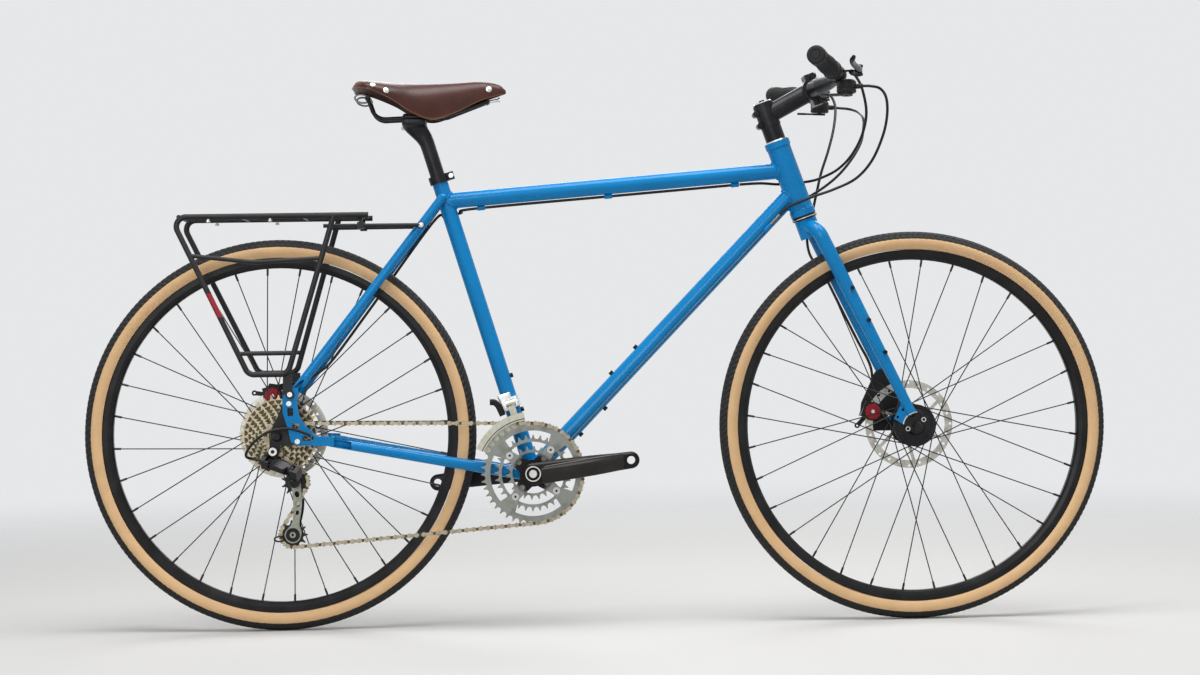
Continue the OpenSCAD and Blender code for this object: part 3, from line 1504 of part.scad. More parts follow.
module steering_bolts() {
  color(black) on_steer(0) {
    for (y = [-1, 1]) for (z = [-1, 1]) translate([stem_l + 9, y * ear_bolt.x, clamp_z + z * ear_bolt.y])
      rotate([0, 90, 0]) screw(bolt_d, 17, 8, 4);
    up(stem_high + 5.1) screw(bolt_d, 20, 10, 3);
    both_sides() for (p = fork_boss_spots) translate(p + [0, 2.6, 0]) rotate([-90, 0, 0]) screw(bolt_d, 9, 8, 3.4);
  }
}

// Handlebar and controls

bar_at = steer_at(clamp_z) + stem_l * [sin(head_angle), 0, cos(head_angle)];
bar_in = bar_at + [0, 35, 0];
bend_at = bar_at + [30, 150, 6];
tip_at = bar_at + [-35, bar_w / 2 - 3, 25];

module handlebar() {
  big = bar_clamp_d / 2;
  small = bar_d / 2;
  a = mix(bar_in, bend_at, 0.3);
  b = mix(bar_in, bend_at, 0.72);
  d = unit(bend_at - bar_in);
  color(black) {
    pipe([flip_y(a), flip_y(bar_in), bar_in, a], big, 60);
    both_sides() {
      bar(a - d, b + d, big - 0.1, small - 0.1);
      pipe([b, bend_at, tip_at], small, 40);
    }
  }
}

module grips() {
  r = grip_d / 2;
  color(rubber) both_sides() along(tip_at, bend_at) difference() {
    up(-3) rotate_extrude() polygon([[0, 0], [r - 2, 0], [r, 2], [r, 20], [r - 1.5, 40], [r - 0.5, 75],
      [r - 2, grip_l - 9], [r - 0.5, grip_l - 6], [r - 0.5, grip_l], [0, grip_l]]);
    cylinder(d = bar_d + 0.04, h = grip_l);
  }
}

lever_at = [0, -43, 51];
lever_half = 5;
lever_pin_r = 3;
ring_r = 15.5;
pod_at = [0, -16, 24];
pod_low = 33;

// Frame of the controls: the origin is the bend of the bar, local Z points out along the grip,
// local X down and local -Y forward
module at_bend(side) {
  mirror([0, side < 0 ? 1 : 0, 0]) along(bend_at, tip_at) children();
}

module upright(at, r, x, h) {
  translate(at + [x, 0, 0]) rotate([0, 90, 0]) cylinder(r = r, h = h);
}

module control_brackets() {
  color(black) for (side = [-1, 1]) at_bend(side) {
    difference() {
      union() {
        up(46) cylinder(r = ring_r, h = 14);
        translate([-9, -35, 42]) cube([18, 24, 18]);
        for (x = [-9, lever_half + 0.2]) translate([x, -50, 43]) cube([8.8 - lever_half, 17, 16]);
        // Boss for the brake housing
        translate([0, -28, 29]) cylinder(r = 4.5, h = 16);
        // Pod of the shifter, and the boss for its housing
        up(18) cylinder(r = ring_r, h = 12);
        upright(pod_at, 17, 11, pod_low - 11);
        translate([22, -30, 24]) rotate([90, 0, 0]) cylinder(r = 4, h = 15);
      }
      cylinder(d = bar_d + 0.02, h = 100);
    }
    upright(lever_at, lever_pin_r, -8, 16);
    upright(pod_at, lever_pin_r, pod_low - 2, 8);
  }
}

module brake_lever(side) {
  color(black) at_bend(side) difference() {
    union() {
      upright(lever_at, 6.5, -lever_half, 2 * lever_half);
      bar(lever_at, [0, -45, 90], 4.8, 4.2);
      bar([0, -45, 89], [0, -52, 156], 4.4, 4.6);
      translate([0, -52, 156]) sphere(r = 5.4);
    }
    upright(lever_at, lever_pin_r + run_gap, -20, 40);
  }
}

module shift_lever(side) {
  color(black) at_bend(side) difference() {
    union() {
      upright(pod_at, 11, pod_low + pass_gap, 4);
      translate([pod_low + pass_gap + 0.3, -16, 19]) cube([3.4, 36, 10]);
      upright([0, 22, 24], 8, pod_low + pass_gap, 4);
    }
    upright(pod_at, lever_pin_r + run_gap, 0, 80);
  }
}

module right_brake_lever() { brake_lever(-1); }
module left_brake_lever() { brake_lever(1); }
module right_shift_lever() { shift_lever(-1); }
module left_shift_lever() { shift_lever(1); }

// Seatpost and saddle

rail_r = 3.5;
saddle_at = bb_at + saddle_h * seat_dir;
rail_points = [[-90, 38, 35], [-77, 24, -2], [49, 22, 3], [122, 8, 29]];

module rail() {
  pipe([for (p = rail_points) saddle_at + p], rail_r, 24);
}

module seatpost() {
  head = saddle_at + [-9, 0, -3];
  color(black) {
    difference() {
      union() {
        bar(bb_at + 400 * seat_dir, bb_at + (saddle_h - 24) * seat_dir, seatpost_d / 2);
        bar(bb_at + (saddle_h - 48) * seat_dir, head - [0, 0, 8], seatpost_d / 2 - 0.4, 16);
        translate(head - [22, 29, 11]) cube([44, 58, 13]);
      }
      both_sides() rail();
      for (x = [-16, 16]) translate(head + [x, 0, -14]) cylinder(d = bolt_d + 0.2, h = 40);
    }
    // Upper jaw and the two bolts
    difference() {
      translate(head + [-21, -29, 2.6]) cube([42, 58, 7]);
      both_sides() rail();
      for (x = [-16, 16]) translate(head + [x, 0, 0]) cylinder(d = bolt_d + 0.2, h = 40);
    }
    for (x = [-16, 16]) translate(head + [x, 0, 9.6]) screw(bolt_d, 22, 8, 4);
  }
}

module saddle_rails() {
  color(black) {
    both_sides() rail();
    // Cantle bar at the back and nose bar at the front
    for (p = [rail_points[0], rail_points[3]]) bar(saddle_at + flip_y(p), saddle_at + p, 5);
  }
}

// Leather cover as rows of [length along, half width, top, lower edge], as parts of the saddle size
saddle_rows = smooth([[-0.43, 0.476, 54, 50], [-0.393, 0.786, 66, 51], [-0.313, 1, 67, 47], [-0.167, 0.88, 64.5, 29],
  [-0.043, 0.62, 63.5, 7], [0.088, 0.44, 63, -4.3], [0.234, 0.333, 64, 7.5], [0.398, 0.25, 66, 29],
  [0.519, 0.167, 61, 40], [0.57, 0.04, 50, 44]], 3);

function saddle_point(row, a, t) = let (w = row[1] * saddle_w / 2, h = row[2] - row[3])
  saddle_at + [row[0] * saddle_l, (w - min(t, 0.45 * w)) * sin(a),
    row[3] + (h - min(t, 0.45 * h)) * pow(abs(cos(a)), 0.6)];

module saddle_cover() {
  k = 16;
  m = len(saddle_rows) - 1;
  n = 2 * (k + 1);
  points = [for (row = saddle_rows) each concat([for (j = [0 : k]) saddle_point(row, 180 * j / k - 90, 0)],
    [for (j = [0 : k]) saddle_point(row, 90 - 180 * j / k, leather_t)])];
  ends = [for (j = [0 : k - 1]) [j, j + 1, n - 2 - j, n - 1 - j]];
  color(leather) polyhedron(points, concat([for (f = ends) each [[f[0], f[1], f[2]], [f[0], f[2], f[3]]]],
    [for (f = ends) each [[m * n + f[2], m * n + f[1], m * n + f[0]], [m * n + f[3], m * n + f[2], m * n + f[0]]]],
    [for (i = [0 : m - 1]) for (j = [0 : n - 1]) let (a = i * n + j, b = i * n + (j + 1) % n)
      each [[b, a, a + n], [b, a + n, b + n]]]));
}

// Cables: each route is a list of hand-chosen points

function under_top_tube(s) = tt_low + s * tt_dir + brake_low * tt_under;
function shift_line(s, side) = bb_at + s * dt_dir - shift_low * dt_up + [0, side * shift_run_y, 0];
housing_r = housing_d / 2;
adjuster_l = 24;
split_s = guide_spots[2] + 9;
shift_end = stop_spot + 16.2 + adjuster_l;

module control_housings() {
  color(black) {
    cable([[461, -190.3, 944.5], [472, -194, 944], [490, -190, 940], [504, -168, 926], [511, -132, 900], [508, -100, 866],
      [492, -72, 824], [466, -50, 794], [428, -38, 776], [392, -31, 764], [350, -20, 748], shift_line(shift_end, -1)],
      housing_r);
    cable([[461, 190.3, 944.5], [472, 194, 944], [490, 186, 941], [502, 160, 933], [506, 120, 918], [502, 90, 896],
      [492, 62, 866], [470, 46, 832], [440, 38, 800], [400, 33, 772], [350, 20, 748], shift_line(shift_end, 1)], housing_r);
    cable([[443.7, -186, 966.9], [452, -164, 964.5], [466, -144, 944], [475, -128, 904], [470, -104, 866],
      [456, -68, 834], [436, -32, 812], [412, 4, 800], [392, 26, 795], [365, 32, 793], [335, 20, 790], [300, 3, 791],
      under_top_tube(split_s)], housing_r);
  }
}

module front_brake_housing() {
  color(black) cable([[443.7, 186, 966.9], [452, 164, 964.5], [457, 138, 940], [450, 112, 900], [436, 88, 856],
    [420, 70, 814], [409, 60, 774], [400, 60, 735], [391, 60, 700], [393, 55, 668], [404, 49, 645], [417, 45, 629],
    [446, 45, 570], [477, 46, 507], [500, 46.5, 462], [505, 46.5, 432], [501.5, 46.5, 412], [498.3, 46.5, 403]], housing_r);
}

module frame_cables() {
  color(black) {
    cable([under_top_tube(split_s - 1), under_top_tube(300), under_top_tube(50), [-242, 15, 745], [-270, 24, 738],
      [-292, 23, 730], [-397, 46.4, 591.5], [-476, 60, 488], [-500, 56, 464], [-525, 57, 449], [-547, 59, 443.4],
      [-566.2, 59, 438.2]], housing_r);
    // Loop to the rear derailleur
    cable([for (p = [[59, -84, 2], [30, -92, 13], [8, -95, 14], [-14, -96, 9], [-34, -96, -4], [-50, -92, -22],
      [-54, -80, -34], [-44, -69, -39], [-27, -70.5, -42.2]]) rear_at + p], housing_r);
    // Barrel adjusters and bare wires
    for (side = [-1, 1]) {
      bar(shift_line(stop_spot + 16.1, side), shift_line(shift_end - 0.5, side), 3);
      bar(shift_line(40, side), shift_line(stop_spot + 16, side), 0.8);
    }
  }
}

head_tube();
top_tube();
down_tube();
seat_tube();
bottom_bracket_shell();
rear_stays();
axle_plates();
frame_fasteners();
bearing_cups();
rear_rack();
front_derailleur_clamp();
rear_caliper();
rear_axle();
frame_cables();
control_housings();
chain();
fork_steerer();
fork_blades();
stem();
stem_faceplate();
steering_bolts();
handlebar();
grips();
control_brackets();
front_caliper();
front_axle();
front_brake_housing();
front_hub();
front_rim();
front_spokes();
front_tyre();
front_rotor();
rear_hub();
rear_rim();
rear_spokes();
rear_tyre();
rear_rotor();
cassette();
right_crank();
left_crank();
chainrings();
seatpost();
saddle_rails();
saddle_cover();
derailleur_knuckle();
derailleur_outer_link();
derailleur_inner_link();
derailleur_body();
derailleur_cage();
guide_pulley();
tension_pulley();
front_derailleur_cage();
rear_caliper_arm();
front_caliper_arm();
right_brake_lever();
left_brake_lever();
right_shift_lever();
left_shift_lever();
rear_qr_lever();
front_qr_lever();
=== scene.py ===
# %% [markdown]
# # A flat-bar touring bicycle, dressed
# The solids of the bicycle load as a fixed frame, and this file lays the finishes on them.
# The soft or finely shaped pieces, such as the tyres and the saddle, are made here as new surfaces.
# A bicycle maker works in millimetres, so the sizes below are in millimetres and MM turns them to metres.

import math

import bmesh
import bpy
import numpy as np
from mathutils import Matrix, Vector


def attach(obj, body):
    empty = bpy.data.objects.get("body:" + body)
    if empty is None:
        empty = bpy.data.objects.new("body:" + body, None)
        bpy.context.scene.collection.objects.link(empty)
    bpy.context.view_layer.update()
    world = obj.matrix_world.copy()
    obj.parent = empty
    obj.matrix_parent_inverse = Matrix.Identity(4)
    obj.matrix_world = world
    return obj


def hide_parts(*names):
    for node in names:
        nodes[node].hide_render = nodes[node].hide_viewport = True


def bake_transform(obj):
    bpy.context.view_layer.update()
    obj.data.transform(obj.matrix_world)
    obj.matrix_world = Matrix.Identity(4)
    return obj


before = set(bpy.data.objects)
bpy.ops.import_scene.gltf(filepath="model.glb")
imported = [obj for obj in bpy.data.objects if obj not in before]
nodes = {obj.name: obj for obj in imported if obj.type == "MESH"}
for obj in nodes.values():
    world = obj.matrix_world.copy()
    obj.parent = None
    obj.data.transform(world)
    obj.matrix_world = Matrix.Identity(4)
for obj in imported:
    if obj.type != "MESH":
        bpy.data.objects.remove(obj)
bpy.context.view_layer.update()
MM = 0.001
SIDES = (-1, 1)
LEFT, RIGHT = (0, 1, 0), (0, -1, 0)
UP, DOWN = (0, 0, 1), (0, 0, -1)
REAR_HUB = (-569, 350)
FRONT_HUB = (569, 350)
BOTTOM_BRACKET = (-118.9, 277)
BB_AT = np.array([BOTTOM_BRACKET[0], 0, BOTTOM_BRACKET[1]])
CHAIN_Y = -59
STEER_AXIS = (-0.3338, 0, 0.9426)
STEER_FORWARD = (0.9426, 0, 0.3338)

# %% [markdown]
# ## Camera
# The picture is taken almost square to the bicycle's right side, from slightly behind its middle, with a small roll.
# A long lens keeps both wheels round, so the camera stands a good four metres away.

# %% Camera
scene = bpy.context.scene
scene.view_settings.view_transform = "Standard"

camera_data = bpy.data.cameras.new("camera")
camera_data.sensor_width = 36
camera_data.lens = 70
camera = bpy.data.objects.new("camera", camera_data)
scene.collection.objects.link(camera)
scene.camera = camera
CAMERA_AT = (-0.1412, -4.2063, 0.5164)
camera_turns = [("Z", -2.0), ("X", 90.0), ("Z", -0.848)]
camera_turn = Matrix.Identity(4)
for axis, degrees in camera_turns:
    camera_turn = camera_turn @ Matrix.Rotation(math.radians(degrees), 4, axis)
camera.matrix_world = Matrix.Translation(CAMERA_AT) @ camera_turn
print("camera at", [round(x, 3) for x in camera.matrix_world.translation])

# %% [markdown]
# ## Shader maths
# A material is a graph of nodes. Writing that graph as Python arithmetic keeps it readable, so one
# small class stands for a socket: adding two of them adds a Math node. Everything else goes through `node`.

# %% The wire class
class Wire:
    """One output socket of a shader tree; arithmetic on wires adds Math nodes."""

    def __init__(self, tree, socket=None):
        self.tree = tree
        self.socket = socket

    def node(self, kind, sockets=None, out=0, **settings):
        """Adds a node. Its settings are made first, then each socket gets its value or wire."""
        made = self.tree.nodes.new("ShaderNode" + kind)
        for name, value in settings.items():
            setattr(made, name, value)
        for name, value in (sockets or {}).items():
            if isinstance(value, Wire):
                self.tree.links.new(value.socket, made.inputs[name])
            else:
                made.inputs[name].default_value = value
        return Wire(self.tree, made.outputs[out])

    def math(self, operation, *values):
        """A Math node fed with those values or wires."""
        return self.node("Math", dict(enumerate(values)), operation=operation)

    def __add__(self, other):
        return self.math("ADD", self, other)

    def __sub__(self, other):
        return self.math("SUBTRACT", self, other)

    def __rsub__(self, other):
        return self.math("SUBTRACT", other, self)

    def __mul__(self, other):
        return self.math("MULTIPLY", self, other)

    __radd__ = __add__
    __rmul__ = __mul__

    def step(self, low, high):
        """0 below low, 1 above high and a smooth ramp between them."""
        sockets = {"Value": self, "From Min": low, "From Max": high}
        return self.node("MapRange", sockets, interpolation_type="SMOOTHSTEP")

    def mix(self, a, b):
        """Colour a where this wire is 0 and colour b where it is 1."""
        colours = [c if isinstance(c, Wire) else (*c[:3], 1) for c in (a, b)]
        return self.node("Mix", {0: self, 6: colours[0], 7: colours[1]}, out=2, data_type="RGBA")

    def noise(self, scale, detail=2.0, rough=0.5):
        """Fractal noise over this vector wire, from 0 to 1."""
        return self.node("TexNoise", {"Vector": self, "Scale": scale, "Detail": detail, "Roughness": rough})

    def xyz(self):
        """The three parts of this vector wire."""
        split = self.node("SeparateXYZ", {0: self}).socket.node
        return [Wire(self.tree, part) for part in split.outputs]

    def along(self, heading):
        """How far this vector wire reaches along a fixed heading."""
        return self.node("VectorMath", {0: self, 1: heading}, out="Value", operation="DOT_PRODUCT")

    def root(self):
        """The square root of this wire."""
        return self.math("SQRT", self)

    def sine(self):
        """The sine of this wire, in radians."""
        return self.math("SINE", self)

    def between(self, low, high):
        """1 where this wire lies between two values, with soft edges."""
        soft = 0.0001
        return self.step(low - soft, low + soft) * (1 - self.step(high - soft, high + soft))

    def bump(self, strength, distance):
        """A Normal that tilts with this height wire."""
        return self.node("Bump", {"Height": self, "Strength": strength, "Distance": distance})


def start_finish(name, **fixed):
    """A new material: the material, its Principled shader and a wire of Object coordinates."""
    material = bpy.data.materials.new(name)
    material.use_nodes = True
    shader = material.node_tree.nodes["Principled BSDF"]
    for socket, value in fixed.items():
        shader.inputs[socket.replace("_", " ").title().replace("Ior", "IOR")].default_value = value
    place = Wire(material.node_tree).node("TexCoord", out="Object")
    return material, shader, place


def feed(shader, **wires):
    """Links wires to sockets of the shader, by the socket's name in small letters."""
    for socket, wire in wires.items():
        shader.id_data.links.new(wire.socket, shader.inputs[socket.replace("_", " ").title()])


def radius_about(place, x, z):
    """Distance in metres from the cross axis at (x, z), which is in millimetres."""
    moved = place.node("Mapping", {"Vector": place, "Location": (-x * MM, 0, -z * MM)}, vector_type="POINT")
    x, _, z = moved.xyz()
    return (x * x + z * z).root()


# %% [markdown]
# ## Finishes
# Each finish keeps its constant values on the shader and lets only colour, roughness and a small
# bump vary, so that it also survives an export to other programs.

# %% Paint and black finishes
BLUE = (0.0003, 0.222, 0.545)
DEEP_BLUE = (0.0003, 0.195, 0.490)


def gloss_paint(name, colour, deep):
    """Wet paint under a clear coat, with a faint orange-peel ripple."""
    material, shader, place = start_finish(
        name, roughness=0.30, coat_weight=0.30, coat_roughness=0.05, specular_ior_level=0.08)
    cloud = place.noise(9, 3)
    peel = place.noise(260, 1)
    feed(shader, base_color=cloud.step(0.3, 0.75).mix(colour, deep), normal=peel.bump(0.02, 0.0001))
    return material


def satin(name, colour, rough, metal=0.0, grain=1400, depth=0.0002, spread=0.12, coat=0.0):
    """A satin black or grey: a fine grain in the bump and slow clouds in colour and roughness."""
    material, shader, place = start_finish(name, metallic=metal, specular_ior_level=0.25, coat_weight=coat)
    cloud = place.noise(24, 4)
    worn = [min(1, c * 1.5 + 0.006) for c in colour]
    feed(shader, base_color=cloud.step(0.35, 0.8).mix(colour, worn),
         roughness=cloud * (2 * spread) + (rough - spread),
         normal=place.noise(grain, 2).bump(0.25, depth))
    return material


paint = gloss_paint("blue_gloss_paint", BLUE, DEEP_BLUE)
rack_coat = satin("black_powder_coat", (0.012, 0.012, 0.013), 0.38, grain=1100, depth=0.0004)
anodised = satin("black_anodised", (0.016, 0.016, 0.018), 0.36, metal=0.55)
rim_black = satin("rim_black", (0.010, 0.010, 0.011), 0.34, metal=0.3)
plastic = satin("black_plastic", (0.014, 0.014, 0.015), 0.46, grain=2200)
housing_black = satin("housing_black", (0.008, 0.008, 0.009), 0.30, grain=800, depth=0.0001)
spoke_black = satin("spoke_black", (0.030, 0.029, 0.028), 0.34, metal=0.8)
crank_black = satin("crank_black", (0.006, 0.005, 0.004), 0.22, metal=0.3, spread=0.06)
derailleur_black = satin("derailleur_black", (0.011, 0.011, 0.012), 0.24, metal=0.2, spread=0.06)

# %% [markdown]
# Bare metal on a bicycle is turned, stamped or plated. Turned parts carry fine rings about their own axle,
# so their finish reads the distance from that axle; plated and stamped parts only get grime and small scratches.

# %% Metals
RINGS_PER_METRE = 900
RING_GREY = (0.25, 0.26, 0.235)
ROTOR_LOOK = ((0.58, 0.56, 0.50), (0.42, 0.39, 0.33), 0.30)


def turned_metal(name, x, z, colour, dark, rough):
    """Metal with fine rings about the axle at (x, z) and grime in slow patches."""
    material, shader, place = start_finish(name, metallic=1.0)
    rings = radius_about(place, x, z) * RINGS_PER_METRE
    line = place.node("TexNoise", {"W": rings, "Scale": 1.0, "Detail": 2.0}, noise_dimensions="1D")
    grime = place.noise(55, 4, 0.6)
    feed(shader, base_color=grime.step(0.45, 0.75).mix(colour, dark),
         roughness=line * 0.16 + (rough - 0.08) + grime.step(0.5, 0.8) * 0.14,
         normal=line.bump(0.18, 0.0002))
    return material


def plated(name, colour, dark, rough):
    """Plated or stamped metal: grime gathers in patches, and fine scratches break the gloss."""
    material, shader, place = start_finish(name, metallic=1.0)
    grime = place.noise(130, 4, 0.6)
    fine = place.noise(1500, 2)
    feed(shader, base_color=grime.step(0.42, 0.72).mix(colour, dark),
         roughness=fine * 0.14 + (rough - 0.05) + grime.step(0.5, 0.8) * 0.15,
         normal=fine.bump(0.12, 0.0002))
    return material


ring_grey = turned_metal("chainring_grey", *BOTTOM_BRACKET, RING_GREY, (0.17, 0.175, 0.155), 0.36)
cassette_steel = turned_metal("cassette_steel", *REAR_HUB, (0.46, 0.40, 0.28), (0.27, 0.23, 0.15), 0.32)
rear_rotor_steel = turned_metal("rear_rotor_steel", *REAR_HUB, *ROTOR_LOOK)
front_rotor_steel = turned_metal("front_rotor_steel", *FRONT_HUB, *ROTOR_LOOK)
chain_nickel = plated("chain_nickel", (0.42, 0.37, 0.27), (0.24, 0.20, 0.14), 0.30)
zinc = plated("zinc_plate", (0.70, 0.69, 0.66), (0.52, 0.51, 0.48), 0.26)
wire_steel = satin("wire_steel", (0.17, 0.17, 0.165), 0.36, metal=0.9)
cage_silver = plated("derailleur_silver", (0.50, 0.49, 0.41), (0.40, 0.39, 0.32), 0.34)
cage_grey = plated("derailleur_grey", (0.27, 0.275, 0.235), (0.20, 0.205, 0.17), 0.36)
band_silver = plated("band_silver", (0.80, 0.81, 0.82), (0.66, 0.67, 0.68), 0.36)


def dress(material, *names):
    """Gives CAD nodes a finish, in place of the plain colour they came with."""
    for name in names:
        slots = nodes[name].data.materials
        slots.clear()
        slots.append(material)


dress(paint, "head_tube", "top_tube", "seat_tube", "bottom_bracket_shell", "rear_stays", "fork_steerer")
dress(rack_coat, "rear_rack", "saddle_rails")
dress(anodised, "axle_plates", "stem_faceplate", "handlebar", "front_hub", "rear_hub", "left_crank",
      "rear_qr_lever", "front_qr_lever", "rear_axle", "front_axle", "steering_bolts")
dress(crank_black, "right_crank")
dress(rim_black, "front_rim", "rear_rim")
dress(spoke_black, "front_spokes", "rear_spokes")
dress(plastic, "right_shift_lever", "left_shift_lever", "guide_pulley", "tension_pulley",
      "rear_caliper_arm", "front_caliper_arm")
dress(derailleur_black, "derailleur_knuckle", "derailleur_inner_link", "derailleur_body")
dress(ring_grey, "chainrings")
dress(cassette_steel, "cassette")
dress(rear_rotor_steel, "rear_rotor")
dress(front_rotor_steel, "front_rotor")
dress(chain_nickel, "chain")
dress(cage_silver, "front_derailleur_cage")
dress(band_silver, "front_derailleur_clamp")

# %% [markdown]
# Some parts carry two finishes at once: a bright bolt in a black collar, a red knob on a black caliper. Cutting the
# mesh would change the solid, so a mask worked out from the coordinates lays the second finish over the first.
# A few masks lay painted shade instead of a finish: key holes, gaps between plates and the webs between sprockets.

# %% Second finishes
BRIGHT = (0.72, 0.72, 0.70)
RED = (0.30, 0.016, 0.024)
# Painted shade for recesses that are not modelled, such as key holes and the gap in a cage.
RECESS_SHADE = (0.02, 0.02, 0.02)
RING_BOLTS = [(-87, 318.1), (-160, 308.9), (-150.8, 235.9), (-77.8, 245.1)]
COLLAR_BOLT = (-258, 811.7)
SPROCKET_STEP = 4.34
RING_FACE_Y = -60
RED_BAND_Z = (0.562, 0.604)
RED_BAND_X = (-0.641, -0.640)


def accent(material, area, colour, rough, metal=1.0):
    """Lays a second finish over a material where area(place) is 1."""
    tree = material.node_tree
    shader = tree.nodes["Principled BSDF"]
    mask = area(Wire(tree).node("TexCoord", out="Object"))

    def first(name):
        """The wire or value that a socket of the shader has so far."""
        plug = shader.inputs[name]
        return Wire(tree, plug.links[0].from_socket) if plug.is_linked else plug.default_value

    feed(shader, base_color=mask.mix(first("Base Color"), colour),
         roughness=mask * rough + (1 - mask) * first("Roughness"),
         metallic=mask * metal + (1 - mask) * first("Metallic"))


def ring_about(x, z, inner, outer):
    """Area between two radii in millimetres about the cross axis at (x, z)."""
    return lambda place: radius_about(place, x, z).between(inner * MM, outer * MM)


def beyond(y, soft):
    """Area further to the right than a cross position, with a soft edge, both in millimetres."""
    return lambda place: 1 - place.xyz()[1].step((y - soft) * MM, (y + soft) * MM)


def steering_band(low, high):
    """Area between two heights in metres along the steering axis."""
    return lambda place: place.along(STEER_AXIS).between(low, high)


def top_cap_edge(place):
    """The bevel of the cap on top of the steerer."""
    return steering_band(0.7801, 0.7818)(place) * place.along(STEER_FORWARD).between(0.580, 0.619)


def rear_bolts(place):
    """The bolts of the axle plates, which are the fasteners behind x = -500 mm."""
    return 1 - place.xyz()[0].step(-0.501, -0.499)


def red_band(place):
    """A short length of the rack's right rear leg."""
    x, y, z = place.xyz()
    return z.between(*RED_BAND_Z) * (1 - x.step(*RED_BAND_X)) * (1 - y.step(-0.001, 0.001))


fork_paint = gloss_paint("fork_paint", BLUE, DEEP_BLUE)
accent(fork_paint, ring_about(*FRONT_HUB, 24, 25.8), BRIGHT, 0.3)
accent(fork_paint, ring_about(*FRONT_HUB, -1, 24), (0.014, 0.014, 0.015), 0.38, metal=0.4)
dress(fork_paint, "fork_blades")

headset_black = satin("headset_black", (0.013, 0.013, 0.014), 0.34, metal=0.5)
accent(headset_black, steering_band(0.7058, 0.80), BRIGHT, 0.28)
accent(headset_black, steering_band(0.5588, 0.5600), BRIGHT, 0.28)
dress(headset_black, "bearing_cups")

stem_black = satin("stem_black", (0.016, 0.016, 0.018), 0.33, metal=0.5)
accent(stem_black, top_cap_edge, BRIGHT, 0.28)
dress(stem_black, "stem")

bolt_black = satin("bolt_black", (0.013, 0.013, 0.014), 0.34, metal=0.6)
accent(bolt_black, rear_bolts, BRIGHT, 0.28)
accent(bolt_black, ring_about(*COLLAR_BOLT, -1, 4.3), BRIGHT, 0.28)
dress(bolt_black, "frame_fasteners")

accent(rack_coat, red_band, RED, 0.32, metal=0.0)


def bolt_faces(place):
    """The heads of the chainring bolts, which stand proud of the outer ring."""
    return beyond(RING_FACE_Y, 0.1)(place)


def shaded_bolt_sockets(place):
    """The key hole in each of those four heads, painted dark as the shade inside it."""
    holes = [ring_about(x, z, -1, 2.1)(place) for x, z in RING_BOLTS]
    return bolt_faces(place) * (holes[0] + holes[1] + holes[2] + holes[3])


def spider_arms(place):
    """The arms of the right crank that carry the rings, outside its black middle."""
    reach = radius_about(place, *BOTTOM_BRACKET).step(0.030, 0.042)
    return reach * place.xyz()[1].between(-0.0586, -0.0450)


def from_chain_line(place):
    """How far a point lies inside the chain's middle plane."""
    return place.xyz()[1] - CHAIN_Y * MM


def shaded_sprocket_webs(place):
    """The part of each sprocket inside its teeth, painted dark as the shade that the next smaller sprocket casts on
    it. The root radius is a parabola in the sprocket's place in the row.
    """
    behind = from_chain_line(place) * (1 / SPROCKET_STEP)
    root = behind * behind * 295 + behind * 3.4 + 0.0195
    return 1 - (radius_about(place, *REAR_HUB) - root).step(-0.0012, 0.0004)


def shaded_inner_links(place):
    """The inner plates and rollers of the chain, which lie between the outer plates; painted dark as the shade in the
    gaps there.
    """
    aside = from_chain_line(place)
    return 1 - aside.math("ABSOLUTE", aside).step(0.0022, 0.0025)


accent(ring_grey, bolt_faces, (0.52, 0.52, 0.49), 0.28)
# Painted shade: the key holes of the ring bolts are darkened, not cut.
accent(ring_grey, shaded_bolt_sockets, RECESS_SHADE, 0.5)
accent(crank_black, spider_arms, RING_GREY, 0.36)
# Painted shade: the webs of the sprockets are darkened as the shade between them.
accent(cassette_steel, shaded_sprocket_webs, (0.075, 0.062, 0.038), 0.42)
# Painted shade: the inner links are darkened as the shade between the outer plates.
accent(chain_nickel, shaded_inner_links, (0.09, 0.075, 0.05), 0.40)
# Painted shade: a dark curved line for the gap between the plates of the front derailleur cage.
accent(cage_silver, ring_about(*BOTTOM_BRACKET, 97.6, 99.2), RECESS_SHADE, 0.5)


def caliper_finish(name, knob_y, knob_x, knob_z):
    """Black, with a red knob that stands out past the caliper's own face and a bright bolt in the knob's middle."""
    material = satin(name, (0.012, 0.012, 0.013), 0.36, metal=0.3)
    knob, bolt = beyond(knob_y, 0.05), ring_about(knob_x, knob_z, -1, 3.2)
    accent(material, knob, RED, 0.34, metal=0.35)
    accent(material, lambda place: knob(place) * bolt(place), BRIGHT, 0.25)
    return material


dress(caliper_finish("front_caliper_black", 22.45, 501.3, 374.6), "front_caliper")
dress(caliper_finish("rear_caliper_black", 34.95, -587.6, 419.5), "rear_caliper")

# %% [markdown]
# ## Making surfaces
# A new piece is a grid of points: a function of two parameters, worked out as whole arrays.
# These helpers join a grid into quads, close its ends, and hang the mesh on a body of the frame.

# %% Grid helpers
def unit(vectors):
    """Vectors scaled to length 1."""
    vectors = np.asarray(vectors, float)
    return vectors / np.linalg.norm(vectors, axis=-1, keepdims=True)


def turn_angles(count):
    """Evenly spaced angles of one full turn, without the last one."""
    return np.linspace(0, 2 * np.pi, count, endpoint=False)


def cells(rows, cols, wrap_rows, wrap_cols):
    """Row and column number of each quad of a grid, as a column and a row of numbers."""
    count_i, count_j = (rows if wrap_rows else rows - 1), (cols if wrap_cols else cols - 1)
    return np.arange(count_i)[:, None], np.arange(count_j)[None, :]


def quads(rows, cols, wrap_rows=False, wrap_cols=False):
    """Corner indices of the quads between neighbours of a rows x cols grid of points."""
    i, j = cells(rows, cols, wrap_rows, wrap_cols)
    after_i, after_j = (i + 1) % rows, (j + 1) % cols
    corners = [i * cols + j, after_i * cols + j, after_i * cols + after_j, i * cols + after_j]
    return np.stack(np.broadcast_arrays(*corners), -1).reshape(-1, 4)


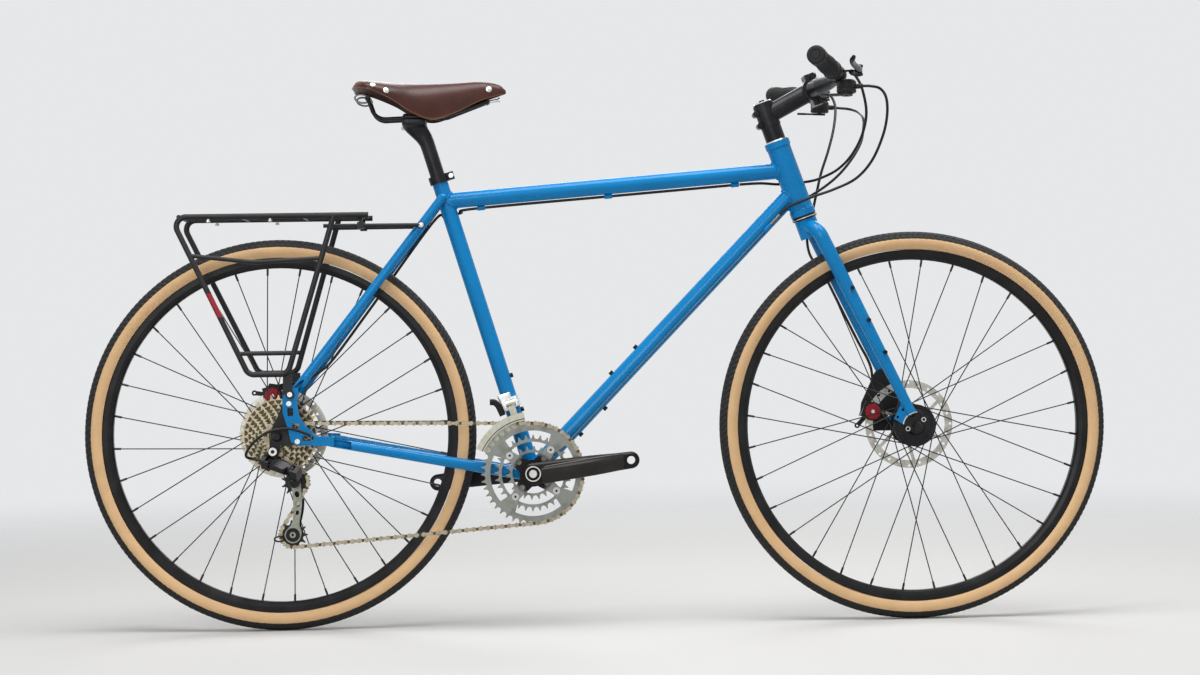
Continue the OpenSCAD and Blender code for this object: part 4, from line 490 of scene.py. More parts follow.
def grid_uv(rows, cols, wrap_rows=False, wrap_cols=False):
    """UV of every corner of those quads: each parameter runs from 0 to 1, and seams stay whole."""
    i, j = cells(rows, cols, wrap_rows, wrap_cols)
    corners = [(i, j), (i + 1, j), (i + 1, j + 1), (i, j + 1)]
    uv = [np.stack(np.broadcast_arrays(a / i.size, b / j.size), -1) for a, b in corners]
    return np.stack(uv, -2).reshape(-1, 2)


def capped(points):
    """Closes a stack of closed sections: each end row is gathered into its middle point."""
    first, last = (np.broadcast_to(points[k].mean(0), (1, *points.shape[1:])) for k in (0, -1))
    closed = np.concatenate([first, points, last])
    return closed, quads(*closed.shape[:2], wrap_cols=True)


def make_piece(name, parts, material, uv=None, sharp=40):
    """A mesh object from (points in mm, faces) parts, with doubles merged and faces turned outwards."""
    points, faces, base = [], [], 0
    for part_points, part_faces in parts:
        flat = np.asarray(part_points, float).reshape(-1, 3)
        points.append(flat)
        faces.append(np.asarray(part_faces) + base)
        base += len(flat)
    mesh = bpy.data.meshes.new(name)
    mesh.from_pydata((np.concatenate(points) * MM).tolist(), [], np.concatenate(faces).tolist())
    if uv is not None:
        mesh.uv_layers.new(name="wrap").uv.foreach_set("vector", np.asarray(uv, np.float32).ravel())
    work = bmesh.new()
    work.from_mesh(mesh)
    bmesh.ops.remove_doubles(work, verts=work.verts, dist=1e-6)
    bmesh.ops.dissolve_degenerate(work, edges=work.edges, dist=1e-7)
    bmesh.ops.recalc_face_normals(work, faces=work.faces)
    work.to_mesh(mesh)
    work.free()
    mesh.shade_smooth()
    mesh.set_sharp_from_angle(angle=math.radians(sharp))
    mesh.materials.append(material)
    piece = bpy.data.objects.new(name, mesh)
    scene.collection.objects.link(piece)
    print(name, len(mesh.vertices), "points", len(mesh.polygons), "faces")
    return piece


def hang(name, parts, material, body, slot, replaced=None, **look):
    """Makes a piece, fixes it to a body, and hides the solid that it stands in for. Its slot argument is not used."""
    piece = make_piece(name, parts, material, **look)
    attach(piece, body)
    if replaced:
        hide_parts(replaced)


def smooth_route(points, steps):
    """Catmull-Rom curve through rows of numbers, with that many steps between neighbours."""
    p = np.asarray(points, float)
    p = np.concatenate([p[:1], p, p[-1:]])
    t = np.linspace(0, 1, steps, endpoint=False)[None, :, None]
    a, b, c, d = (p[k:len(p) - 3 + k, None] for k in range(4))
    curve = 0.5 * (2 * b + (c - a) * t + (2 * a - 5 * b + 4 * c - d) * t**2 + (3 * b - a - 3 * c + d) * t**3)
    return np.concatenate([curve.reshape(-1, p.shape[1]), p[-1:]])


def tube(path, radius, sides=16, side=LEFT):
    """Round or oval tube: point = path + rn cos a normal + rb sin a binormal, where radius is one number,
    one for each point, or a pair (rn, rb) for each point. The normal is square to side, and the ends close flat."""
    path = np.asarray(path, float)
    radius = np.asarray(radius, float)
    radius = np.broadcast_to(radius if radius.ndim == 2 else radius.reshape(-1, 1), (len(path), 2))
    heading = unit(np.gradient(path, axis=0))
    normal = unit(np.cross(heading, side))
    binormal = np.cross(normal, heading)
    path, normal, binormal = (np.concatenate([v[:1], v, v[-1:]])[:, None] for v in (path, normal, binormal))
    radius = np.concatenate([[[0, 0]], radius, [[0, 0]]])[:, :, None, None]
    a = turn_angles(sides)[None, :, None]
    points = path + radius[:, 0] * np.cos(a) * normal + radius[:, 1] * np.sin(a) * binormal
    return points, quads(len(path), sides, wrap_cols=True)


def turned(start, heading, profile, sides=48):
    """Surface of revolution: profile rows are [distance along heading, radius]."""
    heading = unit(heading)
    side = unit(np.cross(heading, UP if abs(heading[2]) < 0.9 else (1, 0, 0)))
    up = np.cross(side, heading)
    profile = np.asarray(profile, float)
    a = turn_angles(sides)[None, :, None]
    ring = np.cos(a) * side + np.sin(a) * up
    points = np.asarray(start, float) + profile[:, :1, None] * heading + profile[:, 1:, None] * ring
    return points, quads(len(profile), sides, wrap_cols=True)


def flat_ring(at, heading, inner, outer, low, high):
    """Ring with a square section between two radii and two heights."""
    return turned(at, heading, [[low, inner], [low, outer], [high, outer], [high, inner], [low, inner]], 32)


def cross_pin(at, radius, length):
    """Plain pin from a point towards the bicycle's left side."""
    return turned(at, LEFT, [[0, 0], [0, radius], [length, radius], [length, 0]], 24)


def wire_loop(centre, long, high, radius, tilt=0.0):
    """Wire bent to an oval in the bicycle's plane: centre + (long cos a, 0, high sin a - tilt cos a)."""
    a = np.linspace(0, 2 * np.pi, 33)
    oval = np.stack([long * np.cos(a), 0 * a, high * np.sin(a) - tilt * np.cos(a)], -1)
    return tube(np.asarray(centre, float) + oval, radius, 12)


# %% [markdown]
# ## Tyres
# The tyre is a thin casing with tan side walls and a black rubber tread. The tread's small lugs show on its edge,
# so they are real relief: the casing's radius is a function of the angle round the wheel and the angle across it.

# %% Tyre surface
CASING_R = 20.0
CASING_MID = 330.0
INNER_R = 17.0
EDGE = 130
TREAD_EDGE = 70
LUG_COUNT = 200
LUG_STEPS = 6
LUG_H = 1.3
WALL_EDGE = (0.3368, 0.3378)
THREADS_AROUND, THREADS_ACROSS = 2600, 260
LUG_ROWS = [(0, 15, 0, 1, 0.70), (31, 11, 0.5, 1, 0.62), (57, 11, 0, 0.6, 0.55)]


def tyre_points():
    """Closed casing about the origin: radius along the wheel = CASING_MID + r cos b, width = r sin b,
    where b is the angle across and r rises by the lug height inside each lug. A row of lugs is its angle across and
    half width in degrees, its shift and slant along the tread, and its share of the pitch."""
    across = np.radians(np.concatenate([np.linspace(-EDGE, -TREAD_EDGE - 2, 9),
                                        np.linspace(-TREAD_EDGE, TREAD_EDGE, 35),
                                        np.linspace(TREAD_EDGE + 2, EDGE, 9)]))
    around = turn_angles(LUG_COUNT * LUG_STEPS)
    phase = around[:, None] * LUG_COUNT / (2 * np.pi)
    b = np.degrees(across)[None, :]
    lean = np.abs(b) / 40
    lug = np.any([(np.abs(np.abs(b) - row) < half) & ((phase + shift + lean * slant) % 1 < share)
                  for row, half, shift, slant, share in LUG_ROWS], axis=0)
    tread = np.abs(b) <= TREAD_EDGE
    r = np.where(tread, CASING_R - LUG_H + lug * LUG_H, CASING_R - LUG_H * 0.8)
    inner = np.radians(np.linspace(EDGE, -EDGE, 12))
    across = np.concatenate([across, inner])[None, :]
    r = np.concatenate([r, np.full((len(around), len(inner)), INNER_R)], 1)
    wheel_r, turn = CASING_MID + r * np.cos(across), around[:, None]
    return np.stack([wheel_r * np.cos(turn), r * np.sin(across), wheel_r * np.sin(turn)], -1)


def tyre_finish(name, x, z):
    """Black rubber outside, tan cloth under clear rubber on the walls: split by the radius from the axle."""
    material, shader, place = start_finish(name, specular_ior_level=0.35)
    ragged = place.noise(160, 3) * 0.0012
    wall = 1 - (radius_about(place, x, z) + ragged).step(*WALL_EDGE)
    u, v, _ = place.node("TexCoord", out="UV").xyz()
    around, across = u * THREADS_AROUND, v * THREADS_ACROSS
    cloth = ((around + across).sine() + (around - across).sine()) * 0.25 + 0.5
    stain = place.noise(38, 4)
    tan = (cloth * 0.55 + stain.step(0.35, 0.8) * 0.45).mix((0.78, 0.510, 0.270), (0.67, 0.420, 0.210))
    dust = place.noise(300, 3).step(0.5, 0.8)
    rubber = dust.mix((0.012, 0.012, 0.012), (0.030, 0.029, 0.027))
    feed(shader, base_color=wall.mix(rubber, tan), roughness=wall * -0.14 + 0.66 + dust * 0.1,
         normal=(cloth * wall).bump(0.25, 0.0003))
    return material


def make_tyre(name, hub, body):
    """One tyre about a hub, in place of the plain solid of that name."""
    points = tyre_points()
    rows, cols = points.shape[:2]
    part = (points + np.array([hub[0], 0, hub[1]]), quads(rows, cols, True, True))
    hang(name + "_cased", [part], tyre_finish(name + "_rubber", *hub), body, "tyre_rubber", name,
         uv=grid_uv(rows, cols, True, True), sharp=30)


make_tyre("front_tyre", FRONT_HUB, "front_wheel")
make_tyre("rear_tyre", REAR_HUB, "rear_wheel")

# %% [markdown]
# ## Saddle
# The saddle is one piece of thick leather, wetted and stretched over a steel frame. Its top is a shallow dome and
# its sides hang as flaps, so each cross-section is a half ellipse with a flattened top, carried from tail to nose.

# %% Saddle leather
SADDLE_AT = np.array([-313.6, 0.0, 913.9])
SADDLE_L = 274
SADDLE_W = 168
LEATHER_T = 4.5
SADDLE_STEPS, SADDLE_ACROSS = 9, 56
SADDLE_ROWS = [[-0.43, 0.476, 54, 50], [-0.393, 0.786, 66, 51], [-0.313, 1, 67, 47], [-0.167, 0.88, 64.5, 29],
               [-0.043, 0.62, 63.5, 7], [0.088, 0.44, 63, -4.3], [0.234, 0.333, 64, 7.5], [0.398, 0.25, 66, 29],
               [0.519, 0.167, 61, 40], [0.57, 0.04, 50, 44]]


def saddle_surface(inset):
    """y = w sin a and z = low + h |cos a|^0.6, with width w, height h and low edge from the rows."""
    rows = smooth_route(SADDLE_ROWS, SADDLE_STEPS)
    a = np.radians(np.linspace(-90, 90, SADDLE_ACROSS))[None, :]
    w = rows[:, 1:2] * SADDLE_W / 2
    h = rows[:, 2:3] - rows[:, 3:4]
    w, h = w - np.minimum(inset, 0.45 * w), h - np.minimum(inset, 0.45 * h)
    x = rows[:, :1] * SADDLE_L * np.ones_like(a)
    return SADDLE_AT + np.stack([x, w * np.sin(a), rows[:, 3:4] + h * np.abs(np.cos(a))**0.6], -1)


def leather_finish():
    """Dyed brown leather: fine grain, dark clouds, and worn tan where the edge is cut."""
    material, shader, place = start_finish(
        "saddle_leather", coat_weight=0.12, coat_roughness=0.25, specular_ior_level=0.25)
    cloud = place.noise(26, 5, 0.6)
    grain = place.node("TexVoronoi", {"Vector": place, "Scale": 900.0}, out="Distance")
    pores = place.noise(2400, 2)
    tail = 1 - place.xyz()[0].step(-0.436, -0.405)
    brown = cloud.step(0.3, 0.75).mix((0.062, 0.016, 0.010), (0.034, 0.009, 0.007))
    _, across, _ = place.node("TexCoord", out="UV").xyz()
    cut_edge = across.between(-1, 0.0022) + across.between(0.4888, 0.4932)
    feed(shader, base_color=(tail * 0.55 + cut_edge * 0.45).mix(brown, (0.23, 0.095, 0.035)),
         roughness=cloud * 0.16 + 0.30,
         normal=(grain * 0.7 + pores * 0.3).bump(0.22, 0.0005))
    return material


outer, inner = saddle_surface(0), saddle_surface(LEATHER_T)
shell = np.concatenate([outer, inner[:, ::-1]], 1)
rows, cols = shell.shape[:2]
ends = shell[0], shell[-1]
strip = quads(2, cols // 2)
end_faces = np.stack([strip[:, 0], strip[:, 3], cols - 1 - strip[:, 3], cols - 1 - strip[:, 0]], -1)
shell_uv = np.concatenate([grid_uv(rows, cols, False, True), np.full((8 * len(end_faces), 2), 0.25)])
shell_parts = [(shell, quads(rows, cols, False, True)), (ends[0], end_faces), (ends[1], end_faces[:, ::-1])]
hang("saddle_leather", shell_parts, leather_finish(), "seat", "leather", "saddle_cover", uv=shell_uv, sharp=50)

# %% [markdown]
# Domed steel rivets hold the leather to the frame. Each is a small turned cap that stands on the surface,
# pointing along the leather's own normal.

# %% Saddle rivets
RIVETS = [(-392, 969), (-366, 959), (-187, 964)]
RIVET_CAP = [[-1.5, 0], [-1.5, 5.4], [0.4, 5.4], [1.0, 4.6], [1.5, 3.0], [1.8, 0]]
slope_s, slope_a = np.gradient(outer, axis=(0, 1))
leather_normal = unit(np.cross(slope_s, slope_a))
right = outer[:, :outer.shape[1] // 2]
rivets = []
for x, z in RIVETS:
    spot = np.unravel_index(np.argmin((right[..., 0] - x)**2 + (right[..., 2] - z)**2), right.shape[:2])
    at, out = right[spot], leather_normal[spot]
    out = out * np.sign(-out[1])
    rivets += [turned(at * (1, side, 1), out * (1, side, 1), RIVET_CAP, 20) for side in (1, -1)]
hang("saddle_rivets", rivets, zinc, "seat", "steel")

# %% [markdown]
# ## Cables
# Control cables run in smooth plastic housings. Each is a round tube along a curve through its clips and stops.
# The three housings from bar to frame make one piece, which is fixed to no body.

# %% Housings
HOUSING_R = 2.5
WIRE_R = 0.7
ADJUSTER_R = 3.0
STOP_Y = 17
bar_to_frame = [
    [[461, -190.3, 944.5], [472, -194, 944], [490, -190, 940], [504, -168, 926], [511, -132, 900], [508, -100, 866],
     [492, -72, 824], [466, -50, 794], [428, -38, 776], [392, -31, 764], [350, -20, 748], [332.3, -17, 732.8]],
    [[461, 190.3, 944.5], [472, 194, 944], [490, 186, 941], [502, 160, 933], [506, 120, 918], [502, 90, 896],
     [492, 62, 866], [470, 46, 832], [440, 38, 800], [400, 33, 772], [350, 20, 748], [332.3, 17, 732.8]],
    [[443.7, -186, 966.9], [452, -164, 964.5], [466, -144, 944], [475, -128, 904], [470, -104, 866],
     [456, -68, 834], [436, -32, 812], [412, 4, 800], [392, 26, 795], [365, 32, 793], [335, 20, 790], [300, 3, 791],
     [262.5, 0, 789.2]]]


def housings(*routes):
    """Round housings, a tube along each route."""
    return [tube(smooth_route(route, 10), HOUSING_R) for route in routes]


bar_housings = make_piece("control_housings_round", housings(*bar_to_frame), housing_black)
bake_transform(bar_housings)
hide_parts("control_housings")

front_brake_route = [[443.7, 186, 966.9], [452, 164, 964.5], [457, 138, 940], [450, 112, 900], [436, 88, 856],
                     [420, 70, 814], [409, 60, 774], [400, 60, 735], [391, 60, 700], [393, 55, 668], [404, 49, 645],
                     [417, 45, 629], [446, 45, 570], [477, 46, 507], [500, 46.5, 462], [505, 46.5, 432],
                     [501.5, 46.5, 412], [498.3, 46.5, 403]]
hang("front_brake_housing_round", housings(front_brake_route), housing_black, "steering", "black_plastic",
     "front_brake_housing")

rear_brake_route = [[261.5, 0, 789.1], [32.2, 0, 771.2], [-217, 0, 751.6], [-242, 15, 745], [-270, 24, 738],
                    [-292, 23, 730], [-397, 46.4, 591.5], [-476, 60, 488], [-500, 56, 464], [-525, 57, 449],
                    [-547, 59, 443.4], [-566.2, 59, 438.2]]
gear_loop = np.array([[59, -84, 2], [30, -92, 13], [8, -95, 14], [-14, -96, 9], [-34, -96, -4], [-50, -92, -22],
                      [-54, -80, -34], [-44, -69, -39], [-27, -70.5, -42.2]]) + [REAR_HUB[0], 0, REAR_HUB[1]]
wires = [tube([(315.5, y, 715.4), (-84.7, y, 299.6)], WIRE_R, 10) for y in (-STOP_Y, STOP_Y)]
adjusters = [tube([(332.0, y, 732.5), (315.7, y, 715.5)], ADJUSTER_R, 20) for y in (-STOP_Y, STOP_Y)]
hang("frame_housings_round", housings(rear_brake_route, gear_loop), housing_black, "frame", "black_plastic",
     "frame_cables")
hang("bare_wires", wires + adjusters, wire_steel, "frame", "steel", "frame_cables")

# %% [markdown]
# ## Grips
# Each grip is moulded rubber: a rounded end with two rings, a slim waist, and fine ribs round the middle.
# It is a surface of revolution about the bar, whose radius ripples along the bar.

# %% Grip surface
GRIP_R = 16.25
RIB_PITCH, RIB_H = 3.6, 0.35
WAISTS = [(1.6, 45, 24), (1.2, 105, 14)]
BAR_TIP = np.array([362.15, 327.0, 983.12])
BAR_BEND = np.array([427.15, 150.0, 964.12])


def grip_part(side):
    """radius(t) = R less two soft waists plus the ribs' cosine, about the line from the bar's tip to its bend."""
    start, stop = BAR_TIP * [1, side, 1], BAR_BEND * [1, side, 1]
    ends = [[-3, 0], [-3, 6.5], [-2.2, 7.0], [-2.2, 9.0], [-3, 9.5], [-3, 12.5], [-2.4, 14.6], [-1, 16.0]]
    t = np.linspace(1, 118, 196)
    waist = sum(depth * np.exp(-((t - middle) / wide)**2) for depth, middle, wide in WAISTS)
    ribs = RIB_H * np.cos(2 * np.pi * t / RIB_PITCH) * ((t > 14) & (t < 104))
    body = np.stack([t, GRIP_R - waist + ribs], -1)
    foot = [[118.4, GRIP_R - 0.5], [121, GRIP_R + 0.6], [124, GRIP_R + 0.6], [125, GRIP_R - 0.4], [125, 11.2]]
    return turned(start, stop - start, np.concatenate([ends, body, foot]), 64)


grip_rubber = satin("grip_rubber", (0.010, 0.010, 0.010), 0.62, grain=900, depth=0.0003)
hang("grips_ribbed", [grip_part(side) for side in SIDES], grip_rubber, "steering", "grip_rubber", "grips")

# %% [markdown]
# ## Welds
# The steel tubes are welded, and each joint keeps a small rippled bead. The bead follows the line where two
# cylinders meet: for each angle round the first tube, a quadratic gives the place where its wall enters the second.

# %% Weld beads
THIN_R, DOWN_R, HEAD_R, SHELL_R = 14.3, 15.9, 21.5, 20.0
BEAD_R = 2.2
RIPPLES = 60


def meeting_line(start, stop, radius, other, other_heading, other_radius, sides=240):
    """Points where the wall of the tube from start towards stop first meets another tube: each line of the wall
    runs on by the nearer root of qa t^2 + qb t + qc, which is 0 at the other tube's radius."""
    start, stop, other = (np.asarray(p, float) for p in (start, stop, other))
    heading, axis = unit(stop - start), unit(other_heading)
    side = unit(np.cross(heading, LEFT)) * np.sign(heading[0])
    a = turn_angles(sides)[:, None]
    ray = start + radius * (np.cos(a) * side + np.sin(a) * LEFT)
    flat = (ray - other) - ((ray - other) @ axis)[:, None] * axis
    way = heading - (heading @ axis) * axis
    qa, qb, qc = way @ way, 2 * flat @ way, (flat**2).sum(1) - other_radius**2
    reach = (-qb - np.sqrt(np.maximum(qb**2 - 4 * qa * qc, 0))) / (2 * qa)
    return ray + reach[:, None] * heading


def weld(start, stop, *joint):
    """Closed bead, a small circle carried along the line where two tubes meet, with a ripple round the line."""
    path = meeting_line(start, stop, *joint)
    start = np.asarray(start, float)
    heading = unit(np.asarray(stop, float) - start)
    tangent = unit(np.roll(path, -1, 0) - np.roll(path, 1, 0))
    outward = unit(path - (start + ((path - start) @ heading)[:, None] * heading))
    across = np.cross(tangent, outward)
    r = BEAD_R * (1 + 0.10 * np.cos(turn_angles(len(path)) * RIPPLES))[:, None, None]
    k = turn_angles(10)[None, :, None]
    points = path[:, None] + r * (np.cos(k) * outward[:, None] + np.sin(k) * across[:, None])
    return points, quads(len(path), 10, True, True)


SEAT_AXIS = (-0.2924, 0, 0.9563)
HEAD_LOW = (377.5, 0, 732.0)
DOWN_TUBE_MID = (121.5, 0, 526.6)
DOWN_TUBE_TOP = (361.8, 0, 776.3)
to_head = (DOWN_TUBE_MID, DOWN_TUBE_TOP, DOWN_R, HEAD_LOW, STEER_AXIS, HEAD_R)
to_bracket = (DOWN_TUBE_MID, BB_AT, DOWN_R, BB_AT, LEFT, SHELL_R)
joints = [((200, 0, 802.4), (348.5, 0, 814), THIN_R, HEAD_LOW, STEER_AXIS, HEAD_R), to_head,
          ((-100, 0, 778.9), (-268.3, 0, 765.7), THIN_R, BB_AT, SEAT_AXIS, THIN_R), to_bracket,
          ((-160, 0, 411.5), BB_AT, THIN_R, BB_AT, LEFT, SHELL_R)]
hang("frame_welds", [weld(*joint) for joint in joints], paint, "frame", "blue_paint")

# %% [markdown]
# The down tube is the widest tube in the picture and catches a long highlight, so it is drawn again with even quads:
# each line of its wall runs straight from one meeting line to the other. Two small bosses hold the gear adjusters.

# %% Down tube
DOWN_DIR = np.array([0.69354, 0, 0.72041])
DOWN_UP = np.array([-0.72041, 0, 0.69354])
DOWN_ROWS, DOWN_SIDES = 61, 72
BOSS_ALONG, BOSS_BELOW = 601.1, 8.9
BOSS = [[0, 0], [0, 3.0], [0.6, 3.6], [15.4, 3.6], [16, 3.0], [16, 0]]
t = np.linspace(0, 1, DOWN_ROWS)[:, None, None]
wall = (1 - t) * meeting_line(*to_bracket, sides=DOWN_SIDES) + t * meeting_line(*to_head, sides=DOWN_SIDES)
boss_at = BB_AT + BOSS_ALONG * DOWN_DIR - BOSS_BELOW * DOWN_UP
bosses = [turned(boss_at + [0, y, 0], DOWN_DIR, BOSS, 24) for y in (-STOP_Y, STOP_Y)]
down_tube = (wall, quads(DOWN_ROWS, DOWN_SIDES, wrap_cols=True))
hang("down_tube_drawn", [down_tube, *bosses], paint, "frame", "blue_paint", "down_tube")

# %% [markdown]
# ## Brake levers
# A brake lever is forged: a flat blade that bends round the fingers and turns out at its tip. Its section is an oval
# that changes along the blade, so it is one oval tube on a smooth curve, with the pivot barrel beside it.

# %% Lever blades
LEVER_ROUTE = [[0, -43, 51], [0.6, -46, 60], [1.6, -48, 74], [2.0, -47.5, 96], [1.6, -47.5, 118], [1.0, -50, 138],
               [0.4, -55, 152], [0, -58.5, 158]]
LEVER_OVALS = [[5.2, 4.8], [5.0, 5.2], [4.6, 5.8], [4.4, 6.2], [4.3, 6.4], [4.2, 6.4], [3.8, 5.6], [2.2, 3.2]]
LEVER_PIVOT = np.array([0, -43, 51.0])
LEVER_BARREL = [[-4.9, 0], [-4.9, 5.6], [-4.1, 6.4], [4.1, 6.4], [4.9, 5.6], [4.9, 0]]


def control_axes(side):
    """Origin at the bend of the bar on one side, and rows down, back and outwards along the grip."""
    out = unit(BAR_TIP - BAR_BEND)
    lean, turn = math.acos(out[2]), math.atan2(out[1], out[0])
    down = [math.cos(lean) * math.cos(turn), math.cos(lean) * math.sin(turn), -math.sin(lean)]
    back = [-math.sin(turn), math.cos(turn), 0]
    return BAR_BEND * [1, side, 1], np.array([down, back, out]) * [1, side, 1]


lever_black = satin("lever_black", (0.010, 0.010, 0.011), 0.30, metal=0.2, spread=0.06)
for name, side in (("right_brake_lever", -1), ("left_brake_lever", 1)):
    origin, axes = control_axes(side)
    blade = tube(origin + smooth_route(LEVER_ROUTE, 8) @ axes, smooth_route(LEVER_OVALS, 8), 20, axes[0])
    barrel = turned(origin + LEVER_PIVOT @ axes, axes[0], LEVER_BARREL, 32)
    hang(name + "_forged", [blade, barrel], lever_black, name, "black_alloy", name)

# %% [markdown]
# ## Derailleur link
# The outer link of the rear derailleur is a cast block with wide bevels that catch the light. It is an eight-sided
# section carried from pin to pin: it swells outwards in the middle and keeps clear of the cheeks at both ends.

# %% Link casting
LINK_AT = np.array([-583, -81, 308.0])
LINK_AXES = np.array([[0.8758, -0.3697, -0.3102], [0.0505, 0.7094, -0.7030], [0.48, 0.60, 0.64]])
LINK_L = 47


def link_casting():
    """Section corners (side, height) for each station u along the link: depth = 3.8 + 4.5 sqrt(sin(pi u / L)),
    rounded off past both pins, and the lower side reaches 8 mm deeper in the middle."""
    u = np.linspace(-4, LINK_L + 4, 45)
    swell = np.sqrt(np.clip(np.sin(np.pi * np.clip(u / LINK_L, 0, 1)), 0, 1))
    middle = np.clip((np.abs(u - LINK_L / 2) - 17) / -4, 0, 1)
    end = np.sqrt(np.clip(1 - (np.clip(np.abs(u - LINK_L / 2) - LINK_L / 2, 0, 4) / 4)**2, 0.02, 1))
    depth, half, inner = (3.8 + 4.5 * swell) * end, 5.3 + 2.6 * middle, 3.6 * end - 1.4 * middle
    cut, low = 1.2 + 1.6 * swell, -half - 8 * middle
    side = np.stack([inner, inner - 1, cut - depth, -depth, -depth, cut - depth, inner - 1, inner], -1)
    high = np.stack([1 + low, low, low, 1.3 * cut + low, half - 1.3 * cut, half, half, half - 1], -1)
    points = np.stack([np.broadcast_to(u[:, None], side.shape), side, high], -1)
    return capped(LINK_AT + points @ LINK_AXES)


hang("derailleur_link_cast", [link_casting()], derailleur_black, "derailleur_outer_link", "black_alloy",
     "derailleur_outer_link", sharp=20)

# %% [markdown]
# The pulley cage is two stamped plates with a pin at each pulley. A plate is a sheet of two parameters, u from the
# upper pin to the lower one and v across: the sheet bows forward, its width follows the stations, and the cells of
# three slots are left out. Walls close every edge between a cell that is kept and one that is not. A turned cap
# covers the spring at the upper pin.

# %% Cage plates
CAGE_AT = np.array([-539, 0, 269.0])
CAGE_AXES = np.array([[-0.0619, 0, -0.9981], [0.9981, 0, -0.0619], [0, 1, 0]])
CAGE_L = 93.6
CAGE_WIDTHS = np.array([[-9, 1], [-8, 4.2], [-6, 6.8], [-3, 8.5], [0, 9], [12, 8.7], [35, 8], [58, 6.6], [70, 6.4],
                        [77, 8], [81, 10.6], [86, 13.4], [92, 15], [98, 14.2], [103, 11.6], [106, 8.4], [108.4, 2]])
CAGE_SLOTS = [(16, 27), (33, 44), (50, 58)]
OUTER_Y, INNER_Y = (-67, -65.2), (-51, -52.8)
OUTER_BOW, INNER_BOW = 6, 9
PULLEY_CAP = [[0, 0], [0, 12.4], [0.5, 12.4], [0.9, 11.8], [0.9, 0]]
SPRING_CAP = [[-0.5, 0], [-0.5, 9.4], [2, 9.4], [3.4, 8.6], [4.4, 7], [4.4, 3.4], [3, 3], [3, 0]]


def sheet(front, back, keep):
    """Closed sheet between two grids of points: faces where keep is true, and walls at the edges of kept cells."""
    rows, cols = front.shape[:2]
    index = np.arange(rows * cols).reshape(rows, cols)
    corners = [index[:-1, :-1], index[:-1, 1:], index[1:, 1:], index[1:, :-1]]
    top = np.stack([c[keep] for c in corners], -1)
    faces = [top, top[:, ::-1] + rows * cols]
    padded = np.pad(keep, 1)
    beside = [padded[:-2, 1:-1], padded[1:-1, 2:], padded[2:, 1:-1], padded[1:-1, :-2]]
    for k, neighbour in enumerate(beside):
        open_edge = keep & ~neighbour
        a, b = corners[k][open_edge], corners[(k + 1) % 4][open_edge]
        faces.append(np.stack([b, a, a + rows * cols, b + rows * cols], -1))
    return np.concatenate([front.reshape(-1, 3), back.reshape(-1, 3)]), np.concatenate(faces)


def cage_plate(outer, inner, bow, slots):
    """Point(u, v) = upper pin + u down the cage + (bow sin(pi u / L) + v width(u)) forward, between two depths.
    The two middle columns follow the edge of each oval slot, so the cells between them are the ones left out."""
    stations = CAGE_WIDTHS[:, 0]
    u = np.unique(np.concatenate([np.linspace(stations[0], stations[-1], 80), stations]
                                 + [np.linspace(a, b, 13) for a, b in slots]))
    slot, one = 0 * u + 0.3, 0 * u + 1
    keep = np.ones((len(u) - 1, 5), bool)
    for a, b in slots:
        inside = (u >= a) & (u <= b)
        slot = np.where(inside, 0.06 + 0.44 * np.sqrt(np.clip(1 - ((2 * u - a - b) / (b - a))**2, 0, 1)), slot)
        keep[:, 2] &= ~(inside[:-1] & inside[1:])
    v = np.stack([-one, -0.92 * one, -slot, slot, 0.92 * one, one], -1)
    u = u[:, None]
    across = bow * np.sin(np.pi * np.clip(u / CAGE_L, 0, 1)) + v * np.interp(u, *CAGE_WIDTHS.T)
    bevel = 0.6 * np.sign(inner - outer) * (np.abs(v) > 0.95)
    front, back = (CAGE_AT + np.stack([u + 0 * v, across, y + 0 * v], -1) @ CAGE_AXES
                   for y in (outer + bevel, inner))
    return sheet(front, back, keep)


lower_pin = CAGE_AT + [CAGE_L, 0, 0] @ CAGE_AXES
outer_parts = [cage_plate(*OUTER_Y, OUTER_BOW, CAGE_SLOTS),
               flat_ring(lower_pin + [0, -67.6, 0], RIGHT, 2.4, 5.4, 0, 1.2)]
inner_parts = [cage_plate(*INNER_Y, INNER_BOW, []), wire_loop(lower_pin + [-24, -66, -7], 8.5, 4.2, 1.6),
               turned(lower_pin + [0, -66.8, 0], RIGHT, PULLEY_CAP, 48),
               cross_pin(CAGE_AT + [0, -85.5, 0], 4, 33.5), cross_pin(lower_pin + [0, -66.5, 0], 3, 14.5)]
hang("derailleur_cage_outer", outer_parts, cage_grey, "derailleur_cage", "steel", "derailleur_cage", sharp=30)
hang("derailleur_cage_inner", inner_parts, derailleur_black, "derailleur_cage", "black_alloy", "derailleur_cage",
     sharp=30)
spring_cap = turned(CAGE_AT + [0, -86, 0], RIGHT, SPRING_CAP, 40)
hang("derailleur_spring_cap", [spring_cap], derailleur_black, "derailleur_body", "black_alloy")

# %% [markdown]
# ## Seat post
# The post is forged in one piece: a round tube that sweeps back and widens into the lower jaw of the saddle clamp.
# Its section is a superellipse, round in the tube and nearly square in the jaw, carried up through a few stations.

# %% Post and jaws
def loft(stations, sides=48):
    """Rows are [x, z, lean, half length, half width, power]: point = centre + half sizes times a superellipse,
    cos and sin of the angle raised to 2 / power, in a plane leaned back by that angle. Its ends close flat."""
    x, z, lean, long, wide, power = (row[:, None] for row in smooth_route(stations, 6).T)
    a = turn_angles(sides)[None, :]

    def corner(wave):
        """A sine or cosine pushed out towards a square corner."""
        return np.sign(wave) * np.abs(wave)**(2 / power)

    fore, lean = long * corner(np.cos(a)), np.radians(lean)
    return capped(np.stack([x + fore * np.cos(lean), wide * corner(np.sin(a)), z + fore * np.sin(lean)], -1))


